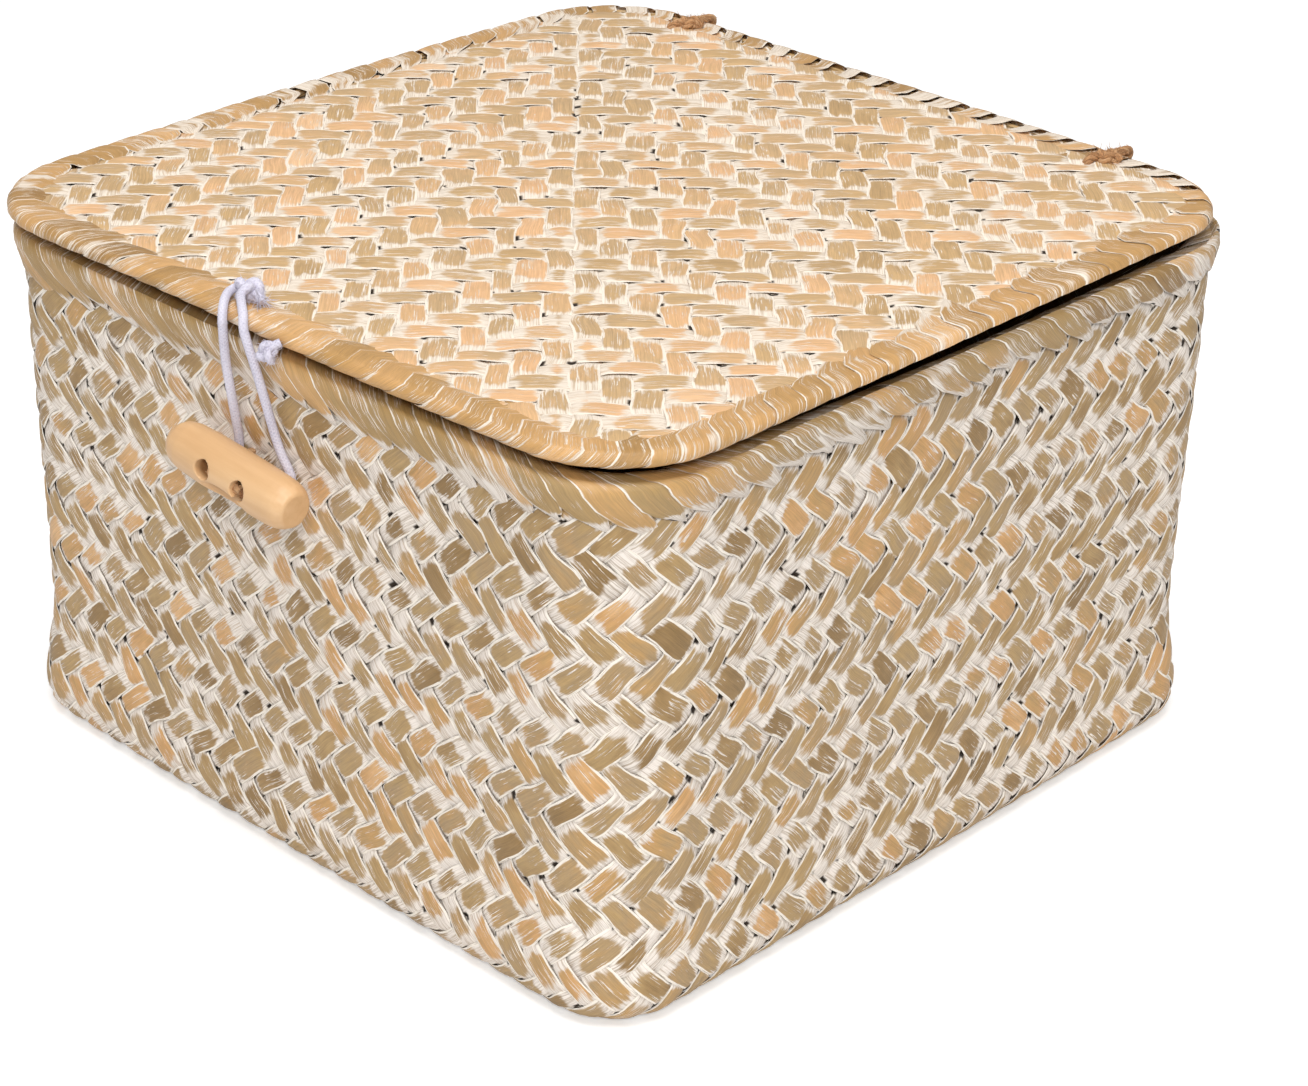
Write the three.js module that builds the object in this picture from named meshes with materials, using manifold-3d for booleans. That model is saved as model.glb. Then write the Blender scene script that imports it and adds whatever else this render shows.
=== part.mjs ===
// A square woven box with rounded corners, a flat woven lid tied on with twine, and a toggle
// closure with an elastic loop. Millimetres, +Z up, the origin in the middle of the underside,
// +X along the front face and +Y towards the hinge side.
import * as THREE from "three";
import { mergeVertices } from "three/addons/utils/BufferGeometryUtils.js";
import Module from "manifold-3d";

const wasm = await Module();
wasm.setup();

// Fits
const weaveGap = 0.3; // between pieces that touch
const cutOverrun = 1; // how far a cut runs past what it cuts
const mergeReach = 0.0001; // corners of a skin that are nearer than this are one
const seatGap = 0.5; // between the closed lid and the rim

// Layers of the weave
const outerLayer = 1.5;
const liningLayer = 1.2;
const foldLayer = 1.1; // a strand folded over the rim
const borderLayer = 0.9; // a strand folded round the lid's edge
const tongueLayer = 0.75; // a lid layer where the border grips it
const foldGroove = 0.55; // depth of the grooves between the rim's folded strands
const borderGroove = 0.45; // the same on the lid's border

// Lid
const lidTop = 110; // height of the closed lid's top
const lidThickness = 4.2;
const lidHalf = 87.5; // half of the lid's width
const lidCorner = 23; // corner radius in plan
const lidBow = 0.9; // how far each edge bows out in its middle
const borderWidth = 8.6;
const borderSink = 0.35; // how far the field lies below the border's top

// Body
const lidOverhang = 2.7; // from the wall under the rim band out to the lid's edge
const waistDraw = 0.9; // how far the walls draw in from there to the waist
const footFlare = 1.3; // how far they swell again near the table
const footCorner = 15;
const footHeight = 5;
const footRound = 4.5; // how far the underside's edge is rolled in
const waistCorner = 17;
const waistHeight = 25;
const shoulderCorner = 19.5;
const shoulderDrop = 18; // from the lid's top down to the shoulder
const bodyBow = 0.5;
const bandHeight = 6; // height of the folded band round the rim
const wallLap = 1.7; // how far the walls reach up into the folded band
const rimCoreRadius = 1.3;
const borderCoreRadius = 0.9;

// Twine and its hinge ties
const twineRadius = 0.9;
const twineBore = 1.25; // radius of the gap in the weave that the twine passes
const tieLeftInset = 27.5; // from the lid's left edge to the left tie
const tieRightInset = 35.5;
const tieKnotRadius = 2.1;
const tieKnotHeight = 1.5;
const tieTail = 5; // length of the ends past the knot

// Toggle
const toggleRadius = 4.8;
const toggleLength = 33;
const toggleX = -2; // its middle along the front face
const toggleDrop = 28.2; // from the lid's top down to its middle
const toggleTilt = THREE.MathUtils.degToRad(5);
const toggleHoleRadius = 1.6;
const toggleHoleReach = 4.75; // from the middle between the holes to each hole
const toggleHoleShift = 1.2; // from the toggle's middle to the middle between its holes
const hollowDepth = 2.2; // of the carved hollow between the holes
const hollowRadius = 2.9;
const bendShare = 0.16; // of the way between the holes that the twine takes to turn

// Elastic
const elasticRadius = 1;
const stemRadius = 0.8; // the pinched stem that passes the lid's border
const stemBore = 1.15;
const anchorX = -8;
const anchorInset = 4.9; // from the lid's edge to the knot
const anchorRadius = 2.5;
const anchorTail = 3.4;
const loopLeft = -7.4; // where the two strands cross the lid's edge
const loopRight = -1.6;
const endKnotX = 4.6;
const endKnotDrop = 3.4; // from the lid's middle layer down to the end knot
const endKnotRadius = 1.9;

// Folded strands: how many go over each quarter of a ring, how far they lean along it, in strands,
// and where the crest of each lies
const foldStrands = 24;
const rimLean = -1.4;
const borderLean = 1.2;
const crestShare = 0.62;
const archShares = [0.3, 0.8]; // of the rim's lean, where its strands start and end their arch
const hookShares = [0.4, 0.6]; // of the border's lean, where its strands turn round the edge

// Steps of the curves
const sideShare = 0.8; // part of each quarter of a ring that is its straight side
const sideSteps = 3;
const cornerSteps = 6;
const footSteps = 3;
const archSteps = 4;
const hookSteps = 4;
const innerSteps = 4;
const cordSides = 8;
const coreSides = 6;
const boreSides = 12;
const barrelSides = 24;
const wallSteps = 7;
const tieSteps = 36;
const lashingSteps = 44;
const loopSteps = 44;
const strandSteps = 7;
const tailSteps = 3;
const knotSides = 10;

// Derived places
const quarterTurn = Math.PI / 2;
const shoulderHalf = lidHalf - lidOverhang;
const waistHalf = shoulderHalf - waistDraw;
const footHalf = waistHalf + footFlare;
const shoulderHeight = lidTop - shoulderDrop;
const lidMid = lidTop - lidThickness / 2;
const lidUnder = lidTop - lidThickness;
const rimTop = lidUnder - seatGap;
const liningInset = outerLayer + weaveGap;
const wallDepth = liningInset + liningLayer;
const foldReach = wallDepth / 2 + weaveGap + foldLayer;
const foldHalf = shoulderHalf - wallDepth / 2;
const foldSpring = rimTop - foldReach;
const bandFoot = rimTop - bandHeight;
const wallTop = bandFoot + wallLap;
const hookRadius = lidThickness / 2;
const hookHalf = lidHalf - hookRadius;
const fieldHalf = lidHalf - borderWidth - weaveGap;
const tongueHalf = hookHalf - borderCoreRadius - weaveGap;
const tieLeft = tieLeftInset - lidHalf;
const tieRight = lidHalf - tieRightInset;
const tieY = fieldHalf - twineBore - weaveGap;
const tieBore = bandFoot - weaveGap - twineBore;
const toggleHeight = lidTop - toggleDrop;
const frontWall = -(wallHalfAt(toggleHeight) + weaveGap);
const loopY = frontWall - elasticRadius;
const toggleBack = loopY - elasticRadius - weaveGap;
const toggleY = toggleBack - toggleRadius;

// A solid from a closed geometry, and a geometry from a solid
function closedGeometry(geometry) {
  const bare = geometry.clone();
  bare.deleteAttribute("normal");
  bare.deleteAttribute("uv");
  const merged = mergeVertices(bare, mergeReach);
  const corners = [];
  const index = merged.index.array;
  for (let i = 0; i < index.length; i += 3) {
    const [a, b, c] = [index[i], index[i + 1], index[i + 2]];
    if (a !== b && b !== c && c !== a) corners.push(a, b, c);
  }
  merged.setIndex(corners);
  return merged;
}

function solid(geometry) {
  const closed = closedGeometry(geometry);
  return new wasm.Manifold(
    new wasm.Mesh({
      numProp: 3,
      vertProperties: new Float32Array(closed.attributes.position.array),
      triVerts: new Uint32Array(closed.index.array),
    }),
  );
}

function geometryOf(body) {
  const mesh = body.getMesh();
  const geometry = new THREE.BufferGeometry();
  geometry.setAttribute("position", new THREE.BufferAttribute(mesh.vertProperties, mesh.numProp));
  geometry.setIndex(new THREE.BufferAttribute(mesh.triVerts, 1));
  geometry.computeVertexNormals();
  return geometry;
}

function cut(geometry, cutters) {
  let body = solid(geometry);
  for (const cutter of cutters) body = body.subtract(solid(cutter));
  return geometryOf(body);
}

function join(geometries) {
  let body = solid(geometries[0]);
  for (const extra of geometries.slice(1)) body = body.add(solid(extra));
  return geometryOf(body);
}

// A point of a square with rounded corners. Quarter 0 starts at the left end of the front side
// and the rings run anticlockwise seen from above; half is measured to the middle of a side.
function planPoint(quarter, half, corner, bow, height) {
  const turn = Math.floor(quarter);
  const part = quarter - turn;
  const flat = half - bow - corner;
  const along = Math.min(part / sideShare, 1) * 2 - 1;
  const swing = (Math.max(part - sideShare, 0) / (1 - sideShare)) * quarterTurn;
  const point = new THREE.Vector3(
    flat * along + corner * Math.sin(swing),
    -flat - corner * Math.cos(swing) - bow * (1 - along * along),
    height,
  );
  return point.applyAxisAngle(new THREE.Vector3(0, 0, 1), turn * quarterTurn);
}

function stations() {
  const list = [];
  for (let turn = 0; turn < 4; turn++) {
    for (let i = 0; i < sideSteps; i++) list.push(turn + (sideShare * i) / sideSteps);
    for (let i = 0; i < cornerSteps; i++)
      list.push(turn + sideShare + ((1 - sideShare) * i) / cornerSteps);
  }
  return list;
}

function planRing({ half, corner, bow, height }) {
  return stations().map((quarter) => planPoint(quarter, half, corner, bow, height));
}

// Stations of a folded ring: a groove and a crest for each strand, moved along by a shift
// counted in strands
function strandStations(shift) {
  const list = [];
  for (let i = 0; i < 4 * foldStrands; i++)
    for (const place of [0, crestShare]) {
      const quarter = (i + place + shift) / foldStrands;
      list.push({ quarter: (quarter + 4) % 4, groove: place === 0 });
    }
  return list;
}

// A closed skin over a stack of rings with the same number of points. A looped stack joins its
// last ring to its first, any other is closed by a flat cap at each end.
function skin(rings, looped) {
  const count = rings[0].length;
  const points = rings.flat();
  const corners = [];
  const last = looped ? rings.length : rings.length - 1;
  for (let m = 0; m < last; m++) {
    const low = m * count;
    const high = ((m + 1) % rings.length) * count;
    for (let n = 0; n < count; n++) {
      const next = (n + 1) % count;
      corners.push(low + n, low + next, high + next, low + n, high + next, high + n);
    }
  }
  if (!looped) {
    const top = (rings.length - 1) * count;
    const [below, above] = [points.length, points.length + 1];
    points.push(new THREE.Vector3(0, 0, rings[0][0].z));
    points.push(new THREE.Vector3(0, 0, rings[rings.length - 1][0].z));
    for (let n = 0; n < count; n++) {
      const next = (n + 1) % count;
      corners.push(below, next, n, above, top + n, top + next);
    }
  }
  const geometry = new THREE.BufferGeometry().setFromPoints(points);
  geometry.setIndex(corners);
  return geometry;
}

// Walls: their half width and corner radius at a height
function blend(height, foot, waist, shoulder) {
  const low = THREE.MathUtils.smoothstep(height, footHeight, waistHeight);
  const high = THREE.MathUtils.smoothstep(height, waistHeight, shoulderHeight);
  return foot + (waist - foot) * low + (shoulder - waist) * high;
}

function wallHalfAt(height) {
  return blend(height, footHalf, waistHalf, shoulderHalf);
}

function wallRing(inset, height) {
  return planRing({
    half: wallHalfAt(height) - inset,
    corner: blend(height, footCorner, waistCorner, shoulderCorner) - inset,
    bow: bodyBow,
    height,
  });
}

function footRing(inset, share) {
  const angle = share * quarterTurn;
  const roll = (footRound - inset) * (1 - Math.sin(angle));
  return planRing({
    half: footHalf - inset - roll,
    corner: footCorner - inset - roll,
    bow: bodyBow,
    height: inset + (footHeight - inset) * (1 - Math.cos(angle)),
  });
}

// One face of a layer from the underside up to the top of the wall
function layerFace(inset) {
  const rings = [];
  for (let i = 0; i < footSteps; i++) rings.push(footRing(inset, i / footSteps));
  for (let i = 0; i <= wallSteps; i++) {
    const share = i / wallSteps;
    rings.push(wallRing(inset, footHeight + (wallTop - footHeight) * share));
  }
  return rings;
}

function wovenShell(inset, thickness) {
  return skin([...layerFace(inset), ...layerFace(inset + thickness).reverse()], false);
}

// A ring whose section is a list of [offset outwards, height], swept round the plan
function sweptRing(section, { half, corner, bow }) {
  const rings = section.map(([out, height]) =>
    planRing({ half: half + out, corner: corner + out, bow, height }),
  );
  return skin(rings, true);
}

// A ring of folded strands. Its section is a list of [offset outwards, height, lean, and the
// outward direction along which a groove is sunk, or none]
function foldedRing(section, { half, corner, bow }, depth) {
  const rings = section.map(([out, height, lean, outwards, upwards]) =>
    strandStations(lean).map(({ quarter, groove }) => {
      const sink = groove ? depth : 0;
      const reach = out - sink * (outwards ?? 0);
      const level = height - sink * (upwards ?? 0);
      return planPoint(quarter, half + reach, corner + reach, bow, level);
    }),
  );
  return skin(rings, true);
}

function arc(radius, height, from, to, steps) {
  const list = [];
  for (let i = 0; i <= steps; i++) {
    const angle = from + ((to - from) * i) / steps;
    list.push([radius * Math.cos(angle), height + radius * Math.sin(angle), angle, i / steps]);
  }
  return list;
}

function roundSection(radius, height, sides) {
  return arc(radius, height, 0, 4 * quarterTurn, sides).slice(0, sides);
}

// An arc of a folded ring's outer face, over which the strands lean from one share to another
function leaningArc(points, lean, from, to) {
  return points.map(([out, height, angle, share]) => [
    out,
    height,
    lean * (from + (to - from) * share),
    Math.cos(angle),
    Math.sin(angle),
  ]);
}

const rimPlan = {
  half: foldHalf,
  corner: shoulderCorner - wallDepth / 2,
  bow: bodyBow,
};
const borderPlan = { half: hookHalf, corner: lidCorner - hookRadius, bow: lidBow };

// The rim's fold: strands that go up the outside, over the core and down the inside
function rimFold() {
  const inner = foldReach - foldLayer;
  const cavityFoot = bandFoot - cutOverrun;
  const [start, end] = archShares;
  const over = arc(foldReach, foldSpring, 0, 2 * quarterTurn, archSteps);
  const strands = [
    [foldReach, bandFoot, 0, 1, 0],
    ...leaningArc(over, rimLean, start, end),
    [-foldReach, bandFoot, rimLean, -1, 0],
  ];
  const cavity = [
    [inner, cavityFoot],
    ...arc(inner, foldSpring, 0, 2 * quarterTurn, innerSteps),
    [-inner, cavityFoot],
  ];
  return cut(foldedRing(strands, rimPlan, foldGroove), [sweptRing(cavity, rimPlan)]);
}

// The lid's border: strands that go out along the underside, round the core and back on top
function lidBorder() {
  const inner = hookRadius - borderLayer;
  const arm = fieldHalf + weaveGap - hookHalf;
  const [start, end] = hookShares;
  const over = arc(hookRadius, lidMid, -quarterTurn, quarterTurn, hookSteps);
  const strands = [
    [arm, lidUnder, 0, 0, -1],
    ...leaningArc(over, borderLean, start, end),
    [arm, lidTop, borderLean, 0, 1],
  ];
  const cavity = [
    [arm - cutOverrun, lidUnder + borderLayer],
    ...arc(inner, lidMid, -quarterTurn, quarterTurn, innerSteps),
    [arm - cutOverrun, lidTop - borderLayer],
  ];
  const ring = foldedRing(strands, borderPlan, borderGroove);
  return cut(ring, [sweptRing(cavity, borderPlan), anchorBore]);
}

// A lid layer: a field that fills the border's opening, with a thin tongue that it grips
function lidLayer(side) {
  const edge = (half, drop) =>
    planRing({
      half,
      corner: borderPlan.corner + half - hookHalf,
      bow: lidBow,
      height: lidMid + side * drop,
    });
  const near = weaveGap / 2;
  const rings = [
    edge(tongueHalf, near),
    edge(tongueHalf, near + tongueLayer),
    edge(fieldHalf, near + tongueLayer),
    edge(fieldHalf, hookRadius - borderSink),
  ];
  return skin(side > 0 ? rings : rings.reverse(), false);
}

function bore(radius, length, place, axis) {
  const geometry = new THREE.CylinderGeometry(radius, radius, length, boreSides);
  if (axis === "z") geometry.rotateX(quarterTurn);
  if (axis === "x") geometry.rotateZ(quarterTurn);
  return geometry.translate(place.x, place.y, place.z);
}

// Twine and elastic: a round cord along a smooth curve
function openCord(points, radius, steps) {
  const section = new THREE.Shape().absarc(0, 0, radius, 0, 4 * quarterTurn);
  return new THREE.ExtrudeGeometry(section, {
    extrudePath: new THREE.CatmullRomCurve3(points),
    steps,
    curveSegments: cordSides / 2,
    bevelEnabled: false,
  });
}

function cordLoop(points, radius, steps) {
  const curve = new THREE.CatmullRomCurve3(points, true);
  return new THREE.TubeGeometry(curve, steps, radius, cordSides, true);
}

function knotLump(radius, height, place) {
  const geometry = new THREE.SphereGeometry(1, knotSides, knotSides / 2 + 1);
  geometry.rotateX(quarterTurn).scale(radius, radius, height);
  return geometry.translate(place.x, place.y, place.z);
}

// Where the ties and the lashing pass the weave
const tieBoresLid = [tieLeft, tieRight].map((x) =>
  bore(twineBore, lidThickness + 2 * cutOverrun, { x, y: tieY, z: lidMid }, "z"),
);
const tieBoresWall = [tieLeft, tieRight].map((x) =>
  bore(
    twineBore,
    2 * (wallDepth + cutOverrun),
    { x, y: shoulderHalf - wallDepth / 2, z: tieBore },
    "y",
  ),
);
const lashingPlaces = [-toggleHoleReach, toggleHoleReach].map((reach) => {
  const along = toggleHoleShift + reach;
  return {
    x: toggleX + along * Math.cos(toggleTilt),
    z: toggleHeight - along * Math.sin(toggleTilt),
  };
});
const lashingBores = lashingPlaces.map(({ x, z }) =>
  bore(twineBore, 2 * (wallDepth + cutOverrun), { x, y: -foldHalf, z }, "y"),
);
const anchorY = -(lidHalf - anchorInset);
const anchorBore = bore(
  stemBore,
  lidThickness + 2 * cutOverrun,
  { x: anchorX, y: anchorY, z: lidMid },
  "z",
);

// One hinge tie: a loop of twine round the lid's border and the rim band, knotted on top
function hingeTie(x) {
  const clear = twineRadius + weaveGap;
  const top = lidTop + clear;
  const back = lidHalf + clear;
  const inside = foldHalf - foldReach - bodyBow - clear;
  const at = (y, z) => new THREE.Vector3(x, y, z);
  const loop = cordLoop(
    [
      at(tieY, lidUnder),
      at(tieY, lidTop),
      at(tieY + clear, top),
      at(hookHalf, top),
      at(back - weaveGap, lidTop - weaveGap),
      at(back, lidMid),
      at(back, bandFoot),
      at(back - clear, tieBore),
      at(shoulderHalf, tieBore),
      at(shoulderHalf - wallDepth, tieBore),
      at(inside + clear, tieBore),
      at(inside, bandFoot),
      at(inside, foldSpring),
    ],
    twineRadius,
    tieSteps,
  );
  const knotPlace = { x, y: tieY + tieKnotRadius + clear, z: top + twineRadius / 2 };
  const knot = knotLump(tieKnotRadius, tieKnotHeight, knotPlace);
  const tail = (side) =>
    openCord(
      [
        new THREE.Vector3(x, knotPlace.y, knotPlace.z),
        new THREE.Vector3(x + (side * tieTail) / 2, knotPlace.y, knotPlace.z),
        new THREE.Vector3(x + side * tieTail, knotPlace.y + side * clear, top),
      ],
      twineRadius,
      tailSteps,
    );
  return join([loop, knot, tail(-1), tail(1)]);
}

// The toggle: a barrel along X, its left end rounded, its right end chamfered and cut flat
const barrelShares = [
  [-1, 0],
  [-1, 0.32],
  [-0.97, 0.58],
  [-0.9, 0.8],
  [-0.78, 0.92],
  [-0.5, 0.985],
  [0, 1],
  [0.5, 0.99],
  [0.8, 0.94],
  [0.93, 0.84],
  [1, 0.62],
  [1, 0],
];

function toggleBarrel() {
  const profile = barrelShares.map(
    ([along, out]) => new THREE.Vector2(out * toggleRadius, (-along * toggleLength) / 2),
  );
  const barrel = new THREE.LatheGeometry(profile.reverse(), barrelSides).rotateZ(quarterTurn);
  const holes = [-1, 1].map((side) =>
    bore(
      toggleHoleRadius,
      2 * (toggleRadius + cutOverrun),
      { x: toggleHoleShift + side * toggleHoleReach, y: 0, z: 0 },
      "y",
    ),
  );
  const hollow = bore(
    hollowRadius,
    2 * toggleHoleReach,
    { x: toggleHoleShift, y: -toggleRadius - hollowRadius + hollowDepth, z: 0 },
    "x",
  );
  return cut(barrel, [...holes, hollow]);
}

// The lashing: through both holes and the front wall, with its knot on the inside
function toggleLashing() {
  const [left, right] = lashingPlaces;
  const front = toggleY - toggleRadius + hollowDepth - twineRadius - weaveGap;
  const wallInside = -(wallHalfAt(toggleHeight) - wallDepth);
  const inside = wallInside + twineRadius + weaveGap;
  const at = (share, y) =>
    new THREE.Vector3(
      THREE.MathUtils.lerp(left.x, right.x, share),
      y,
      THREE.MathUtils.lerp(left.z, right.z, share),
    );
  const loop = cordLoop(
    [
      at(0, toggleY),
      at(0, wallInside - wallDepth),
      at(0, wallInside),
      at(bendShare, inside),
      at(1 / 2, inside),
      at(1 - bendShare, inside),
      at(1, wallInside),
      at(1, wallInside - wallDepth),
      at(1, toggleY),
      at(1 - bendShare, front),
      at(1 / 2, front),
      at(bendShare, front),
    ],
    twineRadius,
    lashingSteps,
  );
  const knot = knotLump(tieKnotRadius, tieKnotHeight, at(1 / 2, inside + twineRadius));
  return join([loop, knot]);
}

// The elastic: knotted on the lid, its loop goes down behind the toggle and round the lashing
function elasticAnchor() {
  const place = { x: anchorX, y: anchorY, z: lidTop + weaveGap + elasticRadius };
  const edge = -(lidHalf + weaveGap + elasticRadius);
  const knot = knotLump(anchorRadius, elasticRadius + elasticRadius, {
    ...place,
    z: place.z + elasticRadius,
  });
  const strand = (start, end) =>
    openCord(
      [
        new THREE.Vector3(place.x, place.y, place.z + elasticRadius),
        new THREE.Vector3((start + end) / 2, -hookHalf, place.z + weaveGap),
        new THREE.Vector3(end, -lidHalf, place.z - weaveGap),
        new THREE.Vector3(end, edge, lidMid + hookRadius / 2),
        new THREE.Vector3(end, edge, lidMid),
      ],
      elasticRadius,
      strandSteps,
    );
  const tail = openCord(
    [
      new THREE.Vector3(place.x, place.y, place.z + elasticRadius),
      new THREE.Vector3(place.x + anchorTail, place.y, place.z + elasticRadius / 2),
      new THREE.Vector3(place.x + anchorTail + elasticRadius, place.y, place.z),
    ],
    stemRadius,
    tailSteps,
  );
  const stem = bore(
    stemRadius,
    lidThickness + elasticRadius,
    { x: place.x, y: place.y, z: lidMid + (elasticRadius + weaveGap) / 2 },
    "z",
  );
  return join([knot, strand(anchorX, loopLeft), strand(anchorX, loopRight), tail, stem]);
}

function elasticLoop() {
  const edge = -(lidHalf + weaveGap + elasticRadius);
  const [left, right] = lashingPlaces;
  const beside = twineRadius + elasticRadius + weaveGap;
  const start = lidMid - weaveGap;
  const near = (edge + loopY) / 2;
  const at = (x, y, z) => new THREE.Vector3(x, y, z);
  return openCord(
    [
      at(loopLeft, edge, start),
      at(loopLeft, edge, bandFoot + bandHeight / 2),
      at((loopLeft + left.x - beside) / 2, near, (lidMid + toggleHeight) / 2),
      at(left.x - beside, loopY, left.z + toggleRadius),
      at(left.x - beside, loopY, left.z),
      at(left.x - twineRadius, loopY, left.z - beside),
      at((left.x + right.x) / 2, loopY, (left.z + right.z) / 2 - beside),
      at(right.x + twineRadius, loopY, right.z - beside),
      at(right.x + beside, loopY, right.z),
      at(right.x + twineRadius, loopY, right.z + toggleRadius),
      at((loopRight + right.x) / 2, near, (lidMid + toggleHeight) / 2),
      at(loopRight, edge, bandFoot + bandHeight / 2),
      at(loopRight, edge, start),
    ],
    elasticRadius,
    loopSteps,
  );
}

function elasticEndKnot() {
  const edge = -(lidHalf + weaveGap + elasticRadius);
  const place = { x: endKnotX, y: edge - elasticRadius / 2, z: lidMid - endKnotDrop };
  const stub = openCord(
    [
      new THREE.Vector3(place.x, place.y, place.z),
      new THREE.Vector3(place.x + elasticRadius / 2, edge, place.z + endKnotDrop / 2),
      new THREE.Vector3(place.x + elasticRadius, edge, lidMid),
    ],
    stemRadius,
    tailSteps,
  );
  return join([knotLump(endKnotRadius, endKnotRadius, place), stub]);
}

// The finishes
const strandFinish = { color: 0xbfa06e, roughness: 0.75, metalness: 0 };
const liningFinish = { color: 0xc2a87c, roughness: 0.8, metalness: 0 };
const foldFinish = { color: 0xb9965f, roughness: 0.65, metalness: 0 };
const lidFinish = { color: 0xd7af73, roughness: 0.65, metalness: 0 };
const coreFinish = { color: 0xa98a5a, roughness: 0.85, metalness: 0 };
const twineFinish = { color: 0xb98c5c, roughness: 0.95, metalness: 0 };
const woodFinish = { color: 0xebc391, roughness: 0.4, metalness: 0 };
const elasticFinish = { color: 0xe4e2ee, roughness: 0.8, metalness: 0 };

const group = new THREE.Group();

function piece(name, geometry, finish) {
  const mesh = new THREE.Mesh(geometry, new THREE.MeshStandardMaterial(finish));
  mesh.name = name;
  group.add(mesh);
  return mesh;
}

piece(
  "body_outer_weave",
  cut(wovenShell(0, outerLayer), [...tieBoresWall, ...lashingBores]),
  strandFinish,
);
piece(
  "body_lining_weave",
  cut(wovenShell(liningInset, liningLayer), [...tieBoresWall, ...lashingBores]),
  liningFinish,
);
piece("body_rim_fold", rimFold(), foldFinish);
piece(
  "body_rim_core",
  sweptRing(roundSection(rimCoreRadius, foldSpring, coreSides), rimPlan),
  coreFinish,
);
piece("lid_top_weave", cut(lidLayer(1), [...tieBoresLid, anchorBore]), lidFinish);
piece("lid_lining_weave", cut(lidLayer(-1), [...tieBoresLid, anchorBore]), liningFinish);
piece("lid_border_fold", lidBorder(), foldFinish);
piece(
  "lid_border_core",
  sweptRing(roundSection(borderCoreRadius, lidMid, coreSides), borderPlan),
  coreFinish,
);
piece("hinge_tie_left", hingeTie(tieLeft), twineFinish);
piece("hinge_tie_right", hingeTie(tieRight), twineFinish);

const toggle = piece("toggle", toggleBarrel(), woodFinish);
toggle.position.set(toggleX, toggleY, toggleHeight);
toggle.rotation.y = toggleTilt;
piece("toggle_lashing", toggleLashing(), twineFinish);
piece("elastic_anchor", elasticAnchor(), elasticFinish);
piece("elastic_loop", elasticLoop(), elasticFinish);
piece("elastic_end_knot", elasticEndKnot(), elasticFinish);

export default group;
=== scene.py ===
# A square woven box with a tied-on lid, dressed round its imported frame. Lengths are in
# millimetres here and are turned into metres where a mesh is made.
import math
from types import SimpleNamespace

import bpy
import numpy as np
from mathutils import Matrix, Vector


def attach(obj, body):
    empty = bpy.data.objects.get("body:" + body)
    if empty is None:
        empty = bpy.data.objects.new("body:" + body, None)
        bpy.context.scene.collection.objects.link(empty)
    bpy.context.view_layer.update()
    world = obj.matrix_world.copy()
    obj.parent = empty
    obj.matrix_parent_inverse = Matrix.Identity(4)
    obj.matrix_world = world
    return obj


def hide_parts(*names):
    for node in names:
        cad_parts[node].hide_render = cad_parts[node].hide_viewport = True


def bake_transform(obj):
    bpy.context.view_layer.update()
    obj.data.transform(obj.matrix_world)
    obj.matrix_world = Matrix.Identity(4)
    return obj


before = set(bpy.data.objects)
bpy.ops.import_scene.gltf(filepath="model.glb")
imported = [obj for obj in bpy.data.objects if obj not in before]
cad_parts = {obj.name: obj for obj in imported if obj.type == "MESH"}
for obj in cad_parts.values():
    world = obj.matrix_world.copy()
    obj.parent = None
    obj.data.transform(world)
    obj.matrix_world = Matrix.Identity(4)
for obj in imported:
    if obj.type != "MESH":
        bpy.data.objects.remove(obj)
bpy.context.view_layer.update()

MM = 0.001
QUARTER_TURN = math.pi / 2

# The frame's driving sizes
LID_TOP = 110.0
LID_THICKNESS = 4.2
LID_HALF = 87.5
LID_CORNER = 23.0
LID_BOW = 0.9
LID_OVERHANG = 2.7
BORDER_WIDTH = 8.6
SEAT_GAP = 0.5
WEAVE_GAP = 0.3
WAIST_DRAW = 0.9
FOOT_FLARE = 1.3
FOOT_CORNER = 15.0
FOOT_HEIGHT = 5.0
FOOT_ROUND = 4.5
WAIST_CORNER = 17.0
WAIST_HEIGHT = 25.0
SHOULDER_CORNER = 19.5
SHOULDER_HEIGHT = 92.0
BODY_BOW = 0.5
OUTER_LAYER = 1.5
LINING_LAYER = 1.2
FOLD_LAYER = 1.1
BAND_HEIGHT = 6.0
HINGE_Y = 86.7

SHOULDER_HALF = LID_HALF - LID_OVERHANG
WAIST_HALF = SHOULDER_HALF - WAIST_DRAW
FOOT_HALF = WAIST_HALF + FOOT_FLARE
EDGE_RADIUS = LID_THICKNESS / 2
LID_MID = LID_TOP - EDGE_RADIUS
FIELD_HALF = LID_HALF - BORDER_WIDTH
RIM_TOP = LID_TOP - LID_THICKNESS - SEAT_GAP
LINING_INSET = OUTER_LAYER + WEAVE_GAP
WALL_DEPTH = LINING_INSET + LINING_LAYER
FOLD_REACH = WALL_DEPTH / 2 + WEAVE_GAP + FOLD_LAYER
FOLD_SPRING = RIM_TOP - FOLD_REACH
BAND_FOOT = RIM_TOP - BAND_HEIGHT

# The weave
WALL_STRANDS = 94  # of each lean round the walls
WALL_ROWS = 6.6  # height of a pair of rows
WALL_START = -7.0  # under the foot
WALL_END = 99.8  # behind the rim
LINING_STRANDS = 62
LINING_ROWS = 9.6
LINING_END = 98.8
LID_PITCH = 7.1  # between crossings along a row
BASE_PITCH = 6.9
BORDER_STRANDS = 96
STEP_SHARES = np.array([0.0, 0.3, 0.5, 0.7])  # of the way from crossing to crossing
SEEDS = (0, 400)  # where a strand's noise starts
SECTION = np.array([(-1.0, 0.0), (-0.62, 0.8), (0.0, 1.0), (0.62, 0.8), (1.0, 0.0)])
ACROSS, CROWN = SECTION.T[:, None]

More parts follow.
